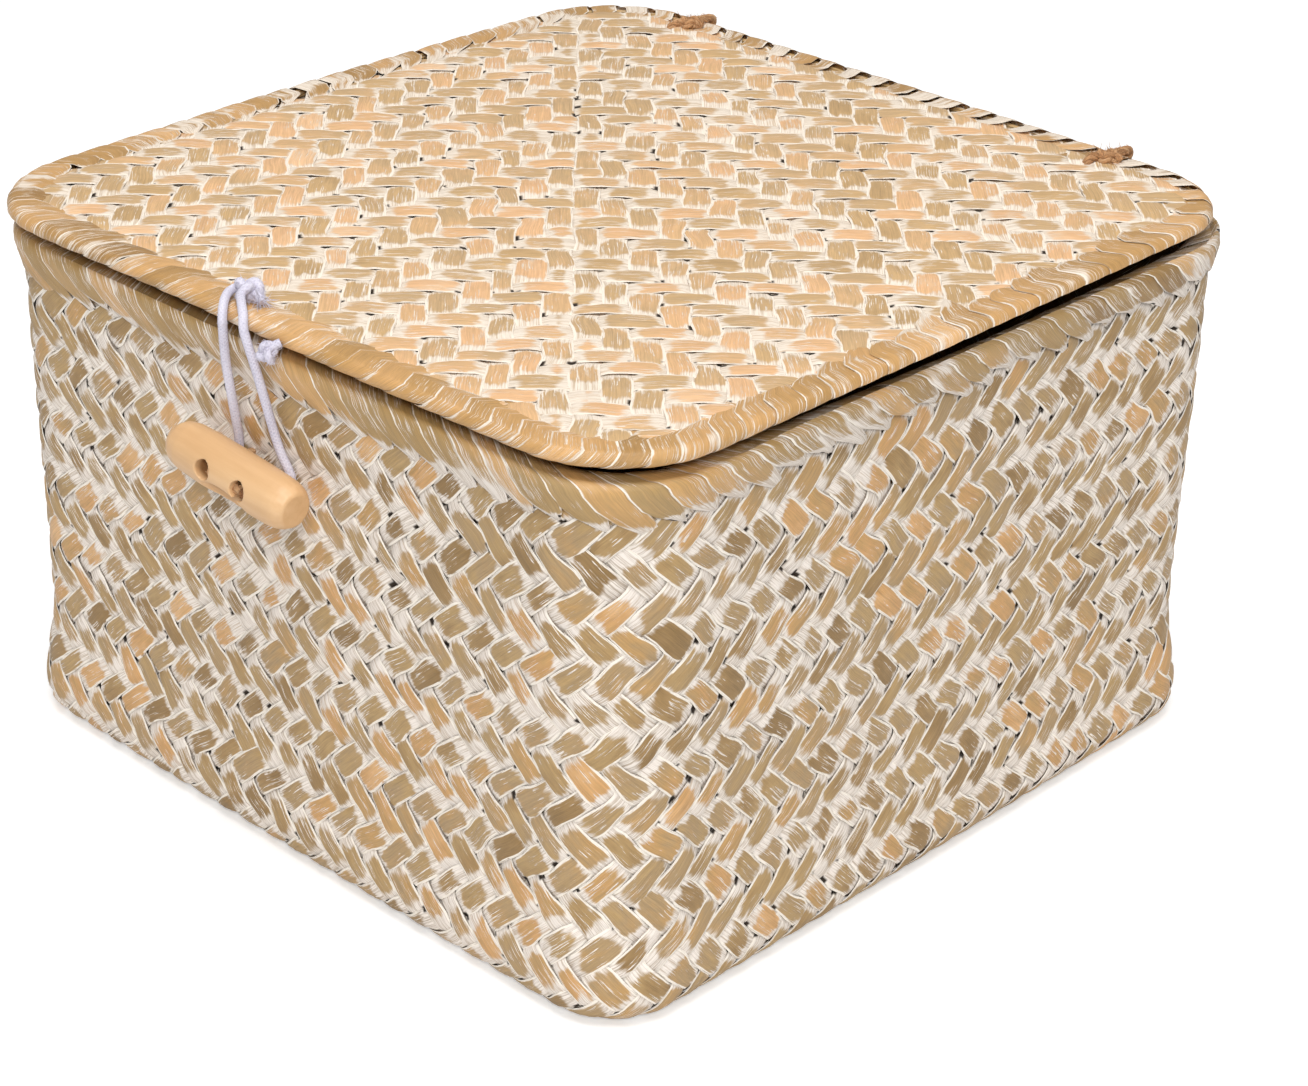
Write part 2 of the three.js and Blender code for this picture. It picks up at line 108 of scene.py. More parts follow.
# Strands folded over an edge
FOLD_PITCH = 6.8
FOLD_CROWN = 0.2
FOLD_TILT = 0.14
RIM_BULGE = 0.9  # how far the folded strands stand out under the lid's edge
RIM_DROP = 0.3  # how far they lie below the frame's rim
UNDER_SHARE = 0.62  # of the edge's radius, the part that shows below its middle
BORDER_UNDER = LID_MID - EDGE_RADIUS * UNDER_SHARE

# The hand-made outline swells a little in places: where, how widely and how far. Places round
# the box are given in quarters from the left end of the front
LID_SWELLS = ((3.93, 0.35, 1.3), (3.45, 0.7, 1.8), (2.9, 0.4, 0.6))
BODY_SWELLS = ((3.93, 0.3, 0.1), (1.93, 0.4, 0.2))
RIM_SWELLS = ((3.93, 0.3, 0.4), (1.93, 0.45, 1.2))
RIGHT_MIDDLE = (1.5, 0.48)
LEFT_FRONT = (0.22, 0.3)

# The middle lines of the rim and of the lid's edge: half width, corner, bow and swells
RIM_RING = (
    SHOULDER_HALF - WALL_DEPTH / 2,
    SHOULDER_CORNER - WALL_DEPTH / 2,
    BODY_BOW,
    BODY_SWELLS + RIM_SWELLS,
)
BORDER_RING = (LID_HALF - EDGE_RADIUS, LID_CORNER - EDGE_RADIUS, LID_BOW, LID_SWELLS)

# The fastenings
TOGGLE_RADIUS = 4.8
TOGGLE_HALF = 16.5
TOGGLE_PLACE = (-2.0, -92.14, 81.8)
TOGGLE_TILT = math.radians(5)
TOGGLE_HOLES = (-3.55, 5.95)
HOLE_RADIUS = 1.9
HOLE_SLOPE = math.radians(8)
DRILL_REACH = 7.0
HOLLOW_SIZES = (6.3, 2.7, 2.7)
HOLLOW_DEPTH = 2.1
HOLLOW_TURN = math.radians(-38)
CUTS_END = 11.5  # all cuts lie within this distance of the middle
TIES = (("left", -60.0, 2.4, 32), ("right", 52.0, 2.2, 33))
TIE_Y = 77.05
TIE_BORE = 97.75
TWINE_RADIUS = 0.9
LASHING_RADIUS = 0.95
ELASTIC_RADIUS = 0.84
ELASTIC_Y = -88.95  # where the elastic leaves the lid's edge
ELASTIC_Z = 107.7

# The camera stands where the photograph was taken from
CAMERA_PLACE = (403.860, -409.838, 335.858)
CAMERA_LENS = 89.89
CAMERA_SHIFT = (0.03136, -0.06835)
CAMERA_RIGHT = Vector((0.709211, 0.704940, 0.008863))
CAMERA_BACK = Vector((0.630761, -0.640097, 0.438653))


def linked(name, data):
    """A new object in the scene."""
    thing = bpy.data.objects.new(name, data)
    bpy.context.scene.collection.objects.link(thing)
    return thing


def moved_to(place):
    """The shift to a place given in millimetres."""
    return Matrix.Translation(Vector(place) * MM)


def make_camera():
    data = bpy.data.cameras.new("camera")
    data.sensor_fit = "HORIZONTAL"
    data.sensor_width = 36.0
    data.lens = CAMERA_LENS
    data.shift_x, data.shift_y = CAMERA_SHIFT
    data.clip_start = 0.01
    data.clip_end = 20.0
    camera = linked("camera", data)
    up = CAMERA_BACK.cross(CAMERA_RIGHT)
    turn = Matrix((CAMERA_RIGHT, up, CAMERA_BACK)).transposed()
    camera.matrix_world = moved_to(CAMERA_PLACE) @ turn.to_4x4()
    bpy.context.scene.camera = camera


# Colours and node graphs
def rgb(red, green, blue):
    """A colour in screen values of 0 to 255, as the linear values that a node takes."""
    linear = []
    for value in (red, green, blue):
        share = value / 255
        linear.append(share / 12.92 if share <= 0.04045 else ((share + 0.055) / 1.055) ** 2.4)
    return (*linear, 1.0)


def tones(*rows):
    """The stops of a colour ramp, each with its place and its colour."""
    return [(place, rgb(*colour)) for place, *colour in rows]


class Graph:
    """The node tree of a material or world, built by short calls."""

    def __init__(self, owner, output="OutputMaterial"):
        owner.use_nodes = True
        self.owner = owner
        self.tree = owner.node_tree
        self.tree.nodes.clear()
        self.output = self.node(output)

    def node(self, kind, *values, **settings):
        """A node whose inputs take the values in order."""
        made = self.tree.nodes.new("ShaderNode" + kind)
        for key, value in settings.items():
            setattr(made, key, value)
        for socket, value in zip(made.inputs, values):
            self.put(socket, value)
        return made

    def put(self, socket, value):
        """Links a socket to another one, or sets it to a constant."""
        if isinstance(value, bpy.types.NodeSocket):
            self.tree.links.new(value, socket)
        else:
            socket.default_value = value

    def fed(self, kind, *values, **settings):
        return self.node(kind, *values, **settings).outputs[0]

    def named(self, kind, **values):
        """The output of a node whose inputs take the values by name."""
        node = self.node(kind)
        for name, value in values.items():
            self.put(node.inputs[name.replace("_", " ")], value)
        return node.outputs[0]

    def attribute(self, name):
        return self.node("Attribute", attribute_name=name).outputs["Vector"]

    def object_place(self):
        return self.node("TexCoord").outputs["Object"]

    def parts(self, vector):
        return self.node("SeparateXYZ", vector).outputs

    def math(self, operation, *values):
        return self.fed("Math", *values, operation=operation)

    def times(self, first, second):
        return self.math("MULTIPLY", first, second)

    def plus(self, first, second):
        return self.math("ADD", first, second)

    def line(self, value, gain, offset):
        return self.math("MULTIPLY_ADD", value, gain, offset)

    def most(self, first, second):
        return self.math("MAXIMUM", first, second)

    def step(self, value, low, high, to_low=0.0, to_high=1.0):
        values = (value, low, high, to_low, to_high)
        return self.fed("MapRange", *values, interpolation_type="SMOOTHSTEP")

    def noise(self, place, scale=1.0, detail=2.0, roughness=0.5):
        return self.named("TexNoise", Vector=place, Scale=scale, Detail=detail, Roughness=roughness)

    def drawn(self, place, stretch, detail=2.0, roughness=0.5):
        """Noise with its own scale in each direction."""
        stretched = self.fed("VectorMath", place, stretch, operation="MULTIPLY")
        return self.noise(stretched, 1.0, detail, roughness)

    def ramp(self, value, stops):
        node = self.node("ValToRGB", value)
        elements = node.color_ramp.elements
        while len(elements) < len(stops):
            elements.new(1.0)
        for element, (place, colour) in zip(elements, stops):
            element.position = place
            element.color = colour
        return node.outputs[0]

    def mix(self, share, first, second, blend="MIX"):
        node = self.node("Mix", share, data_type="RGBA", blend_type=blend)
        self.put(node.inputs[6], first)
        self.put(node.inputs[7], second)
        return node.outputs[2]

    def finish(self, colour, roughness, height, depth, strength):
        """The material, with a fine relief of the given depth in metres."""
        relief = self.named("Bump", Strength=strength, Distance=depth, Height=height)
        look = dict(Base_Color=colour, Roughness=roughness, Normal=relief)
        self.put(self.output.inputs[0], self.named("BsdfPrincipled", **look))
        return self.owner


def new_graph(name):
    return Graph(bpy.data.materials.new(name))


# Dry stalks
WALL_TONES = tones(
    (0.0, 142, 112, 68), (0.2, 161, 129, 83), (0.36, 178, 147, 99), (0.5, 170, 142, 103),
    (0.66, 188, 149, 95), (0.82, 203, 156, 101), (1.0, 219, 176, 126),
)
LID_TONES = tones(
    (0.0, 188, 154, 108), (0.22, 205, 169, 120), (0.42, 198, 165, 122),
    (0.6, 216, 175, 127), (0.82, 228, 181, 134), (1.0, 236, 195, 152),
)
FOLD_TONES = tones(
    (0.0, 144, 110, 62), (0.3, 174, 140, 87), (0.5, 172, 142, 95), (0.75, 196, 154, 98),
    (1.0, 216, 174, 122),
)
BORDER_TONES = tones(
    (0.0, 162, 124, 74), (0.35, 188, 146, 90), (0.7, 206, 160, 104), (1.0, 226, 180, 126)
)
LINING_TONES = tones((0.0, 160, 128, 84), (0.5, 190, 156, 106), (1.0, 212, 174, 124))
# The wash where it is thin, where it is thick and along the edges
WALL_WASH = (rgb(209, 197, 184), rgb(242, 232, 222), rgb(248, 239, 226))
LID_WASH = (rgb(214, 199, 180), rgb(240, 226, 209), rgb(246, 233, 216))
# Painted shadow: the colour of thin dark lines just outside the wash along the strands' edges,
# standing in for the shade in the gaps between strands
PAINTED_SEAM_SHADOW = rgb(120, 92, 62)  # of the hair lines outside the wash
# Painted shadow for the gaps where strands dive
GAP_SHADE = rgb(44, 32, 20)
# Where the lines along a strand's edges start and are full, and where the wash outside them
# starts and is full, as shares of its half width
WOVEN_LINES = (0.8, 0.86, 0.84, 0.92)
FOLDED_LINES = (0.88, 0.93, 0.94, 0.99)
NO_LINES = (1.5, 1.6, 1.5, 1.6)


def strand_fields(g, share, patch):
    """What the looks of a strand are made of: noise drawn out along its fibres, how far a place
    lies across it, and its reach, the way along it from where it dives."""
    fibre = g.attribute("fibre")
    across, reach, tone = g.parts(g.attribute("place"))
    side = g.math("ABSOLUTE", across)
    streak = g.drawn(fibre, (0.12, 2.4, 1.0), 3.0, 0.65)
    blotch = g.noise(g.object_place(), scale=75.0)
    return SimpleNamespace(
        side=side,
        reach=reach,
        tone=tone,
        streak=streak,
        blotch=blotch,
        fine=g.drawn(fibre, (0.16, 4.4, 1.0), 3.0, 0.6),
        smear=g.drawn(fibre, (0.22, 0.5, 1.0)),
        patchy=g.line(blotch, 2 * patch, share - patch),
        edge=g.plus(side, g.line(streak, 0.2, -0.1)),
    )


def washed(g, strand, lens, lines, lined, stripes, wear):
    """Where the wash lies: on the ends of a strand, outside its edges, in streaks and threads."""
    brushed = g.line(strand.smear, 0.9, g.line(strand.streak, 0.45, -0.68))
    rounded = g.line(g.math("POWER", strand.side, 2.0), lens, -0.02)
    tip = g.math("SUBTRACT", g.plus(g.plus(brushed, rounded), strand.patchy), strand.reach)
    ends = g.step(tip, -0.38, -0.12)
    outside = g.step(g.plus(strand.edge, g.times(strand.patchy, 0.25)), *lines[2:])
    outside = g.times(outside, g.step(strand.reach, *lined))
    worn = g.step(g.plus(strand.blotch, g.times(strand.smear, 0.5)), wear, wear + 0.08)
    striped = g.times(g.step(strand.streak, stripes, stripes + 0.05), worn)
    rubbed = g.step(g.plus(strand.blotch, strand.smear), 0.94, 1.0)
    thread = g.times(g.step(strand.fine, 0.57, 0.62), rubbed)
    return g.most(g.most(ends, outside), g.most(striped, thread))


def painted_gap_shade(g, strand):
    """Painted shade: dark spots beside the strands in some of the places where they dive, where the
    gaps between them lie in shade.
    """
    spots = g.step(g.noise(g.object_place(), scale=125.0, detail=0.0), 0.64, 0.66)
    turning = g.step(g.math("ABSOLUTE", strand.reach), 0.2, 0.1)
    return g.times(g.times(spots, turning), g.step(strand.side, 0.6, 0.8))


def strand_material(
    name, stops, wash, share, patch, lines,
    gloss=0.5, stripes=0.62, unbroken=0.34, wear=0.78, lined=(-3.0, -2.0), lens=0.21,
):
    """Dry flat stalks: fibres run along each strand, and white wash lies in the hollows of the
    weave, in thin lines along the strands' edges and in brushed streaks."""
    g = new_graph(name)
    strand = strand_fields(g, share, patch)
    thin, thick, bright = wash
    start, full = lines[:2]
    white = washed(g, strand, lens, lines, lined, stripes, wear)
    kept = g.step(strand.smear, unbroken, unbroken + 0.08)
    edging = g.times(g.times(g.step(strand.edge, start, full), kept), g.step(strand.reach, *lined))
    # Painted shadow: thin dark lines just outside the edge lines, where the gaps between strands
    # lie in shade
    hair = g.times(g.step(strand.edge, full + 0.03, full + 0.06), g.step(strand.fine, 0.52, 0.6))

    bare = g.ramp(g.line(strand.smear, 0.5, g.plus(strand.tone, -0.25)), stops)
    value = g.line(strand.fine, 0.7, g.line(strand.streak, 0.5, 0.42))
    bare = g.mix(1.0, bare, g.fed("CombineColor", value, value, value), "MULTIPLY")
    scratched = g.times(white, g.step(strand.fine, 0.34, 0.48, 0.62, 1.0))
    colour = g.mix(scratched, bare, g.mix(g.step(strand.fine, 0.38, 0.6), thin, thick))
    colour = g.mix(edging, colour, bright)
    colour = g.mix(g.times(hair, 0.45), colour, PAINTED_SEAM_SHADOW)
    # Painted shade: dark spots in the gaps where the strands dive
    colour = g.mix(painted_gap_shade(g, strand), colour, GAP_SHADE)
    rough = g.line(white, 0.85 - gloss, gloss)
    height = g.plus(g.times(strand.fine, 0.6), g.times(white, 0.35))
    return g.finish(colour, rough, height, depth=0.0004, strength=0.6)


wall_material = strand_material(
    "washed_wall_strands", WALL_TONES, WALL_WASH, 0.04, 0.8, WOVEN_LINES, lens=0.13
)
lid_material = strand_material(
    "washed_lid_strands", LID_TONES, LID_WASH, -0.01, 0.6, WOVEN_LINES, gloss=0.45
)
FOLDED = dict(lines=FOLDED_LINES, gloss=0.4, stripes=0.58)
border_material = strand_material(
    "border_strands", BORDER_TONES, LID_WASH, 0.2, 0.9, unbroken=0.49, wear=0.64, **FOLDED
)
fold_material = strand_material(
    "folded_strands", FOLD_TONES, WALL_WASH, 0.22, 1.0,
    unbroken=0.4, wear=0.66, lined=(0.45, 0.85), **FOLDED,
)
lining_material = strand_material(
    "lining_strands", LINING_TONES, WALL_WASH, -0.9, 0.1, NO_LINES, gloss=0.6, stripes=1.0
)


def rounded_square(quarter, half, corner, bow):
    """Places round a square with bowed sides, anticlockwise seen from above."""
    turn = np.floor(quarter)
    part = quarter - turn
    flat = half - bow - corner
    side = 2 * flat / (2 * flat + QUARTER_TURN * corner)
    along = np.clip(part / side, 0, 1) * 2 - 1
    swing = np.clip((part - side) / (1 - side), 0, 1) * QUARTER_TURN
    x = flat * along + corner * np.sin(swing)
    y = -flat - corner * np.cos(swing) - bow * (1 - along**2)
    angle = turn * QUARTER_TURN
    return x * np.cos(angle) - y * np.sin(angle), x * np.sin(angle) + y * np.cos(angle)


def smooth(value, low, high):
    share = np.clip((value - low) / (high - low), 0, 1)
    return share * share * (3 - 2 * share)


def swelled(quarter, swells):
    total = 0 * quarter
    for centre, spread, reach in swells:
        away = np.abs((quarter - centre + 2) % 4 - 2)
        total = total + reach * smooth(away, spread, 0)
    return total


def ring_place(ring, quarter, out):
    """Places round a ring, at a distance outside it."""
    half, corner, bow, swells = ring
    out = out + swelled(quarter, swells)
    return rounded_square(quarter, half + out, corner + out, bow)


def wall_blend(height, foot, waist, shoulder):
    low = smooth(height, FOOT_HEIGHT, WAIST_HEIGHT)
    high = smooth(height, WAIST_HEIGHT, SHOULDER_HEIGHT)
    return foot + (waist - foot) * low + (shoulder - waist) * high


def wall_surface(quarter, climb, inset):
    """A layer of the body at a place round it. The climb is the height, and goes on past the
    foot along the rolled edge and the underside."""
    roll_length = QUARTER_TURN * (FOOT_ROUND + FOOT_HEIGHT) / 2
    angle = np.clip((FOOT_HEIGHT - climb) / roll_length, 0, 1) * QUARTER_TURN
    under = np.maximum(FOOT_HEIGHT - roll_length - climb, 0)
    roll = (FOOT_ROUND - inset) * (1 - np.cos(angle)) + under + inset
    rise = np.maximum(climb, FOOT_HEIGHT)
    rolled = inset + (FOOT_HEIGHT - inset) * (1 - np.sin(angle))
    height = np.where(climb > FOOT_HEIGHT, climb, rolled)
    swell = swelled(quarter, BODY_SWELLS) * smooth(rise, 0, WAIST_HEIGHT)
    swell = swell + swelled(quarter, RIM_SWELLS) * smooth(rise, WAIST_HEIGHT, SHOULDER_HEIGHT)
    half = wall_blend(rise, FOOT_HALF, WAIST_HALF, SHOULDER_HALF) - roll + swell
    corner = wall_blend(rise, FOOT_CORNER, WAIST_CORNER, SHOULDER_CORNER) - roll + swell
    x, y = rounded_square(quarter, half, corner, BODY_BOW)
    return np.stack([x, y, height + 0 * x], axis=-1)


def wall_normal(quarter, climb, inset, step=0.002, lift=0.05):
    along = wall_surface(quarter + step, climb, inset) - wall_surface(quarter - step, climb, inset)
    up = wall_surface(quarter, climb + lift, inset) - wall_surface(quarter, climb - lift, inset)
    normal = np.cross(along, up)
    return normal / np.linalg.norm(normal, axis=-1, keepdims=True)


# Meshes from rows of ribbon sections
class Ribbons:
    """Closed flat ribbons collected into one mesh."""

    def __init__(self):
        self.points, self.faces, self.fibre, self.place = [], [], [], []
        self.count = 0

    def add(self, points, fibre, place, flip=False):
        """The arrays have steps along by places across by 3."""
        steps, width = points.shape[:2]
        index = self.count + np.arange(steps * width).reshape(steps, width)
        near, far = index[:-1], index[1:]
        corners = [near, far, np.roll(far, -1, axis=1), np.roll(near, -1, axis=1)]
        quads = np.stack(corners, axis=-1).reshape(-1, 4)
        way = -1 if flip else 1
        self.faces += quads[:, ::way].tolist()
        self.faces += [index[0][::way].tolist(), index[-1][::-way].tolist()]
        for rows, values in ((self.points, points), (self.fibre, fibre), (self.place, place)):
            rows.append(values.reshape(-1, 3))
        self.count += steps * width

    def build(self, name, body, slot, material, node):
        mesh = bpy.data.meshes.new(name)
        mesh.from_pydata((np.concatenate(self.points) * MM).tolist(), [], self.faces)
        for key, rows in (("fibre", self.fibre), ("place", self.place)):
            attribute = mesh.attributes.new(key, "FLOAT_VECTOR", "POINT")
            attribute.data.foreach_set("vector", np.concatenate(rows).astype(np.float32).ravel())
        mesh.shade_smooth()
        mesh.set_sharp_from_angle(angle=math.radians(50))
        mesh.materials.append(material)
        return placed(linked(name, mesh), body, node)


def placed(thing, body, node):
    """Says what a finished piece rides on, if anything, and what it stands for."""
    if body:
        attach(thing, body)
    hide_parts(node)
    return thing


def between(values, places):
    """Values at whole places, smoothed at the places between them."""
    cell = np.floor(places).astype(int)
    share = smooth(places - cell, 0, 1)
    return values[cell % len(values)] * (1 - share) + values[(cell + 1) % len(values)] * share


def wander(rng, along, reach):
    """A smooth random value for each place along a strand."""
    first = math.floor(along.min())
    values = rng.uniform(-reach, reach, math.ceil(along.max()) - first + 2)
    return between(values, along - first)


def strand_tone(rng, along, spread):
    return np.clip(rng.beta(2.2, 2.2) + wander(rng, along, spread), 0, 1)


def rows_of(*values):
    """Values side by side as vectors, each spread over the shape of all of them."""
    return np.stack(np.broadcast_arrays(*values), axis=-1)


# How a weave lies: its middle and swing about its surface, a strand's crown, the share of its
# room that a strand fills and by which it narrows at a dive, and the strands' pitch
WEAVE_SHAPE = dict(
    middle=-0.35, swing=0.38, crown=0.3, fill=1.0, narrow=0.08, pitch=4.87, inward=False
)
BULGE = 0.12  # of a strand where it rests on two others
UNEVEN = 0.15  # how far the line between two strands wanders


class Weave:
    """Two families of flat strands. A rising strand keeps its second index and runs along the
    first one, a falling strand the other way round. Crossings lie at whole indices."""

    def __init__(self, surface, rising_over, seed, count, **shape):
        self.surface = surface
        self.rising_over = rising_over
        self.count = count
        self.rng = np.random.RandomState(seed)
        self.bounds = self.rng.uniform(-1, 1, (2, count, 64))
        self.shape = SimpleNamespace(**{**WEAVE_SHAPE, **shape})

    def bound(self, rising, index, along):
        """Where a strand ends and its neighbour begins, which wanders along them."""
        values = self.bounds[int(rising), index % self.count]
        rows = along + (index if rising else -index)
        return index + 0.5 + UNEVEN * (values[0] * 0.6 + between(values, rows) * 0.8)

    def lie(self, over, cells, along):
        """How high a strand lies, where it rests on top, and its reach from where it dives,
        which is below zero where it is under."""
        sign = np.where(over, 1.0, -1.0)
        cell = np.floor(along).astype(int) - cells[0]
        part = along - np.floor(along)
        share = smooth(part, 0.2, 0.8)
        lift = sign[cell] * (1 - share) + sign[cell + 1] * share
        resting = np.sin(np.pi * part) ** 2 * (sign[cell] + sign[cell + 1] > 1)
        turns = cells[:-1][sign[:-1] != sign[1:]] + 0.5
        away = np.abs(along[:, None] - turns[None, :]).min(axis=1)
        return lift, resting, np.clip(np.where(lift > 0, away, -away), -1, 1)

    def strand(self, ribbons, rising, index, low, high):
        cells = np.arange(math.floor(low) - 1, math.ceil(high) + 2)
        along = (cells[:, None] + STEP_SHARES).ravel()
        along = along[(along >= low) & (along <= high)]
        if len(along) < 3:
            return
        shape = self.shape
        over = self.rising_over(cells, index) if rising else ~self.rising_over(index, cells)
        lift, resting, reach = self.lie(over, cells, along)
        left = self.bound(rising, index - 1, along)
        right = self.bound(rising, index, along)
        narrowing = shape.narrow * (1 - smooth(np.abs(reach), 0.0, 0.6))
        width = (right - left) * shape.fill * (1 - narrowing)
        tilt = wander(self.rng, along, 0.12)
        tone = strand_tone(self.rng, along / 2, 0.16)
        seed = self.rng.uniform(*SEEDS)

        side = ((left + right) / 2)[:, None] + 0.5 * width[:, None] * ACROSS
        run = along[:, None] + 0 * side
        place, normal = self.surface(*((run, side) if rising else (side, run)))
        height = shape.middle + shape.swing * lift[:, None] + shape.crown * CROWN
        height = height + BULGE * resting[:, None] + tilt[:, None] * ACROSS
        points = place + normal * (-height if shape.inward else height)[..., None]
        fibre = rows_of(run * shape.pitch, 0.5 * shape.pitch * width[:, None] * ACROSS, seed)
        where = rows_of(ACROSS, reach[:, None], tone[:, None])
        ribbons.add(points, fibre, where, flip=(not rising) != shape.inward)


def twill(first, second):
    return (np.add(first, second) % 4) < 2


def lid_over(first, second):
    """The lid's weave turns along one diagonal, where every strand changes sides."""
    first = np.asarray(first)
    mirrored = ((-3 - first + second) % 4) >= 2
    return np.where(first > -1.5, twill(first, second), mirrored)


def round_weave(strands, rows, high, inset, seed, **shape):
    """The walls: strands of both leans wound round the body from under it to a height."""

    def surface(first, second):
        quarter = (first - second) * 2 / strands
        climb = rows * (first + second) / 2
        normal = wall_normal(quarter, climb, inset)
        drop = np.minimum(normal[..., 2:], 0) * -0.45
        return wall_surface(quarter, climb, inset) - normal * drop, normal

    weave = Weave(surface, twill, seed, strands, **shape)
    low, high = 2 * WALL_START / rows, 2 * high / rows
    made = []
    for rising in (True, False):
        ribbons = Ribbons()
        for index in range(strands):
            weave.strand(ribbons, rising, index, low - index, high - index)
        made.append(ribbons)
    return made


def field_weave(pitch, height, half, corner, over, seed, facing=1, dive=0.0, hem=0.0, **shape):
    """A flat square field of strands along both diagonals, clipped by a rounded square. It
    dives within a hem along its edge."""

    def on_field(first, second):
        x = pitch * (first - second) / 2
        y = pitch * (first + second) / 2
        spare = half - corner
        out = np.hypot(np.maximum(np.abs(x) - spare, 0), np.maximum(np.abs(y) - spare, 0))
        return x, y, spare + out

    def surface(first, second):
        x, y, edge = on_field(first, second)
        dip = facing * dive * smooth(edge, half - hem, half - hem + 2.8)
        return rows_of(x, y, height - dip), np.array([0.0, 0.0, 1.0])

    reach = math.ceil(2 * half / pitch)
    run = np.arange(-reach, reach, 0.05)
    shape.update(pitch=pitch / math.sqrt(2), inward=facing < 0)
    weave = Weave(surface, over, seed, 2 * reach + 1, **shape)
    ribbons = Ribbons()
    for rising in (True, False):
        for index in range(-reach, reach + 1):
            edge = on_field(*((run, index) if rising else (index, run)))[2]
            kept = run[edge < half]
            if len(kept):
                weave.strand(ribbons, rising, index, kept[0], kept[-1])
    return ribbons


def tipped(rows, tip, stretch):
    """The rows of a path, with those of its tip drawn out or shortened."""
    end, root = tip
    rows = rows.copy()
    rows[end] = rows[root] + (rows[end] - rows[root]) * stretch
    return rows


def folded_strands(path, count, seed, width, narrow, slant, sag, shortening=0.0, lighter=0.0):
    """Strands side by side round an edge, each folded over it along a path. The last two tell
    how much shorter their tips and how much lighter their tones are on the right side."""
    ribbons = Ribbons()
    rng = np.random.RandomState(seed)
    for index in range(count):
        start = index / count * 4
        stretch = rng.uniform(0.8, 1.3) if index % 4 < 2 else rng.uniform(0.4, 0.85)
        stretch *= 1 - shortening * right_side(start)
        even = (path.lean, path.out, path.height)
        lean, out, height = (tipped(rows, path.tip, stretch) for rows in even)
        strand_width = width * rng.uniform(0.94, 1.12)
        shape = path.taper * narrow(start, rng)
        # A path's shade darkens its tones as painted shade
        tone = strand_tone(rng, path.share * 5, 0.1) + path.shade + lighter * right_side(start)
        seed_value = rng.uniform(*SEEDS)
        jitter = rng.uniform(-0.07, 0.07) + wander(rng, path.share * 3, 0.06)[:, None]

        place = index + (lean + slant(start))[:, None] + jitter
        place = place + 0.5 * strand_width * shape[:, None] * ACROSS
        quarter = (place / count * 4) % 4
        rise = FOLD_CROWN * (CROWN - 1) * path.taper[:, None] - FOLD_TILT * (ACROSS + 1)
        rise = rise - path.depth[:, None]
        x, y = ring_place(path.ring, quarter, out[:, None] + rise * path.outwards[:, None])
        z = height[:, None] + rise * path.upwards[:, None]
        points = rows_of(x, y, z - sag(z, out[:, None], quarter))
        run = np.r_[0, np.cumsum(np.hypot(np.diff(out), np.diff(height)))]
        fibre = rows_of(run[:, None], 0.5 * FOLD_PITCH * strand_width * ACROSS, seed_value)
        reach = 0.9 - 1.6 * np.clip(path.depth / 0.6, 0, 1) - 1.3 * (1 - shape / path.taper)
        where = rows_of(ACROSS, reach[:, None], tone[:, None])
        ribbons.add(points, fibre, where, flip=True)
    return ribbons


# The rows of a path: the places across the edge, the heights, the outward directions, the leans
# in strands, the widths and the depths. The tip is the rows that show and the row they start from
def rim_path():
    """From the outer face of the wall up over the rim and down inside, darker there as painted
    shade.
    """
    turn = np.linspace(0, np.pi, 11)
    spread = np.sign(np.cos(turn)) * np.abs(np.cos(turn)) ** 0.5
    over = FOLD_REACH * spread + RIM_BULGE * np.clip(spread, 0, 1)
    top = FOLD_SPRING - RIM_DROP + FOLD_REACH * np.abs(np.sin(turn)) ** 0.75
    out = np.r_[1.9, 2.2, 2.75, FOLD_REACH + 0.4, over, -FOLD_REACH, -2.6]
    foot = BAND_FOOT - np.array([5.8, 4.2, 2.1, -0.2])
    return SimpleNamespace(
        out=out,
        height=np.r_[foot, top, BAND_FOOT, BAND_FOOT - 3],
        outwards=np.r_[np.ones(4), np.cos(turn), -1, -1],
        upwards=np.r_[np.zeros(4), np.sin(turn), 0, 0],
        lean=np.r_[1.4, 1.05, 0.65, 0.25, np.linspace(-0.1, -1.0, 11), -1.2, -1.7],
        taper=np.r_[0.03, 0.34, 0.74, 0.98, np.ones(11), 0.95, 0.5],
        depth=np.r_[0.8, 0.36, 0.16, 0.03, np.zeros(11), 0.1, 0.8],
        share=np.linspace(0, 1, 17),
        # Painted shade: the rows inside the rim, in shadow under the lid, get darker tones
        shade=-0.5 * smooth(-out, 0.0, 2.5),
        ring=RIM_RING,
        tip=(slice(0, 3), 3),
    )


def border_path():
    """From the lid's underside out round its edge and back on its top."""
    turn = np.linspace(-QUARTER_TURN, QUARTER_TURN, 9)
    arm = FIELD_HALF + WEAVE_GAP - (LID_HALF - EDGE_RADIUS)
    around = EDGE_RADIUS * np.sin(turn) * np.where(turn < 0, UNDER_SHARE, 1.0)
    edge = EDGE_RADIUS * np.cos(turn)
    return SimpleNamespace(
        out=np.r_[arm - 3.5, arm / 2, edge, arm / 2, arm + 0.8, arm - 1.2, arm - 3.6],
        height=np.r_[BORDER_UNDER, BORDER_UNDER, LID_MID + around, np.full(4, LID_TOP)],
        outwards=np.r_[0, 0, np.cos(turn), np.zeros(4)],
        upwards=np.r_[-1, -1, np.sin(turn), np.ones(4)],
        lean=np.r_[-0.6, 0.2, np.linspace(0.4, 0.75, 9), 1.0, 1.45, 1.95, 2.6],
        taper=np.r_[0.5, np.ones(11), 0.84, 0.46, 0.04],
        depth=np.r_[0.6, np.zeros(11), 0.08, 0.25, 0.8],
        share=np.linspace(0, 1, 15),
        shade=0.0,
        ring=BORDER_RING,
        tip=(slice(12, 15), 11),
    )


def near(quarter, centre, reach):
    """1 at a place round the box, falling to 0 at both sides of it."""
    return smooth(1 - np.abs(quarter - centre) / reach, 0, 1)


def right_side(quarter):
    return smooth(quarter, 1.0, 1.16) * (1 - smooth(quarter, 1.86, 2.02))


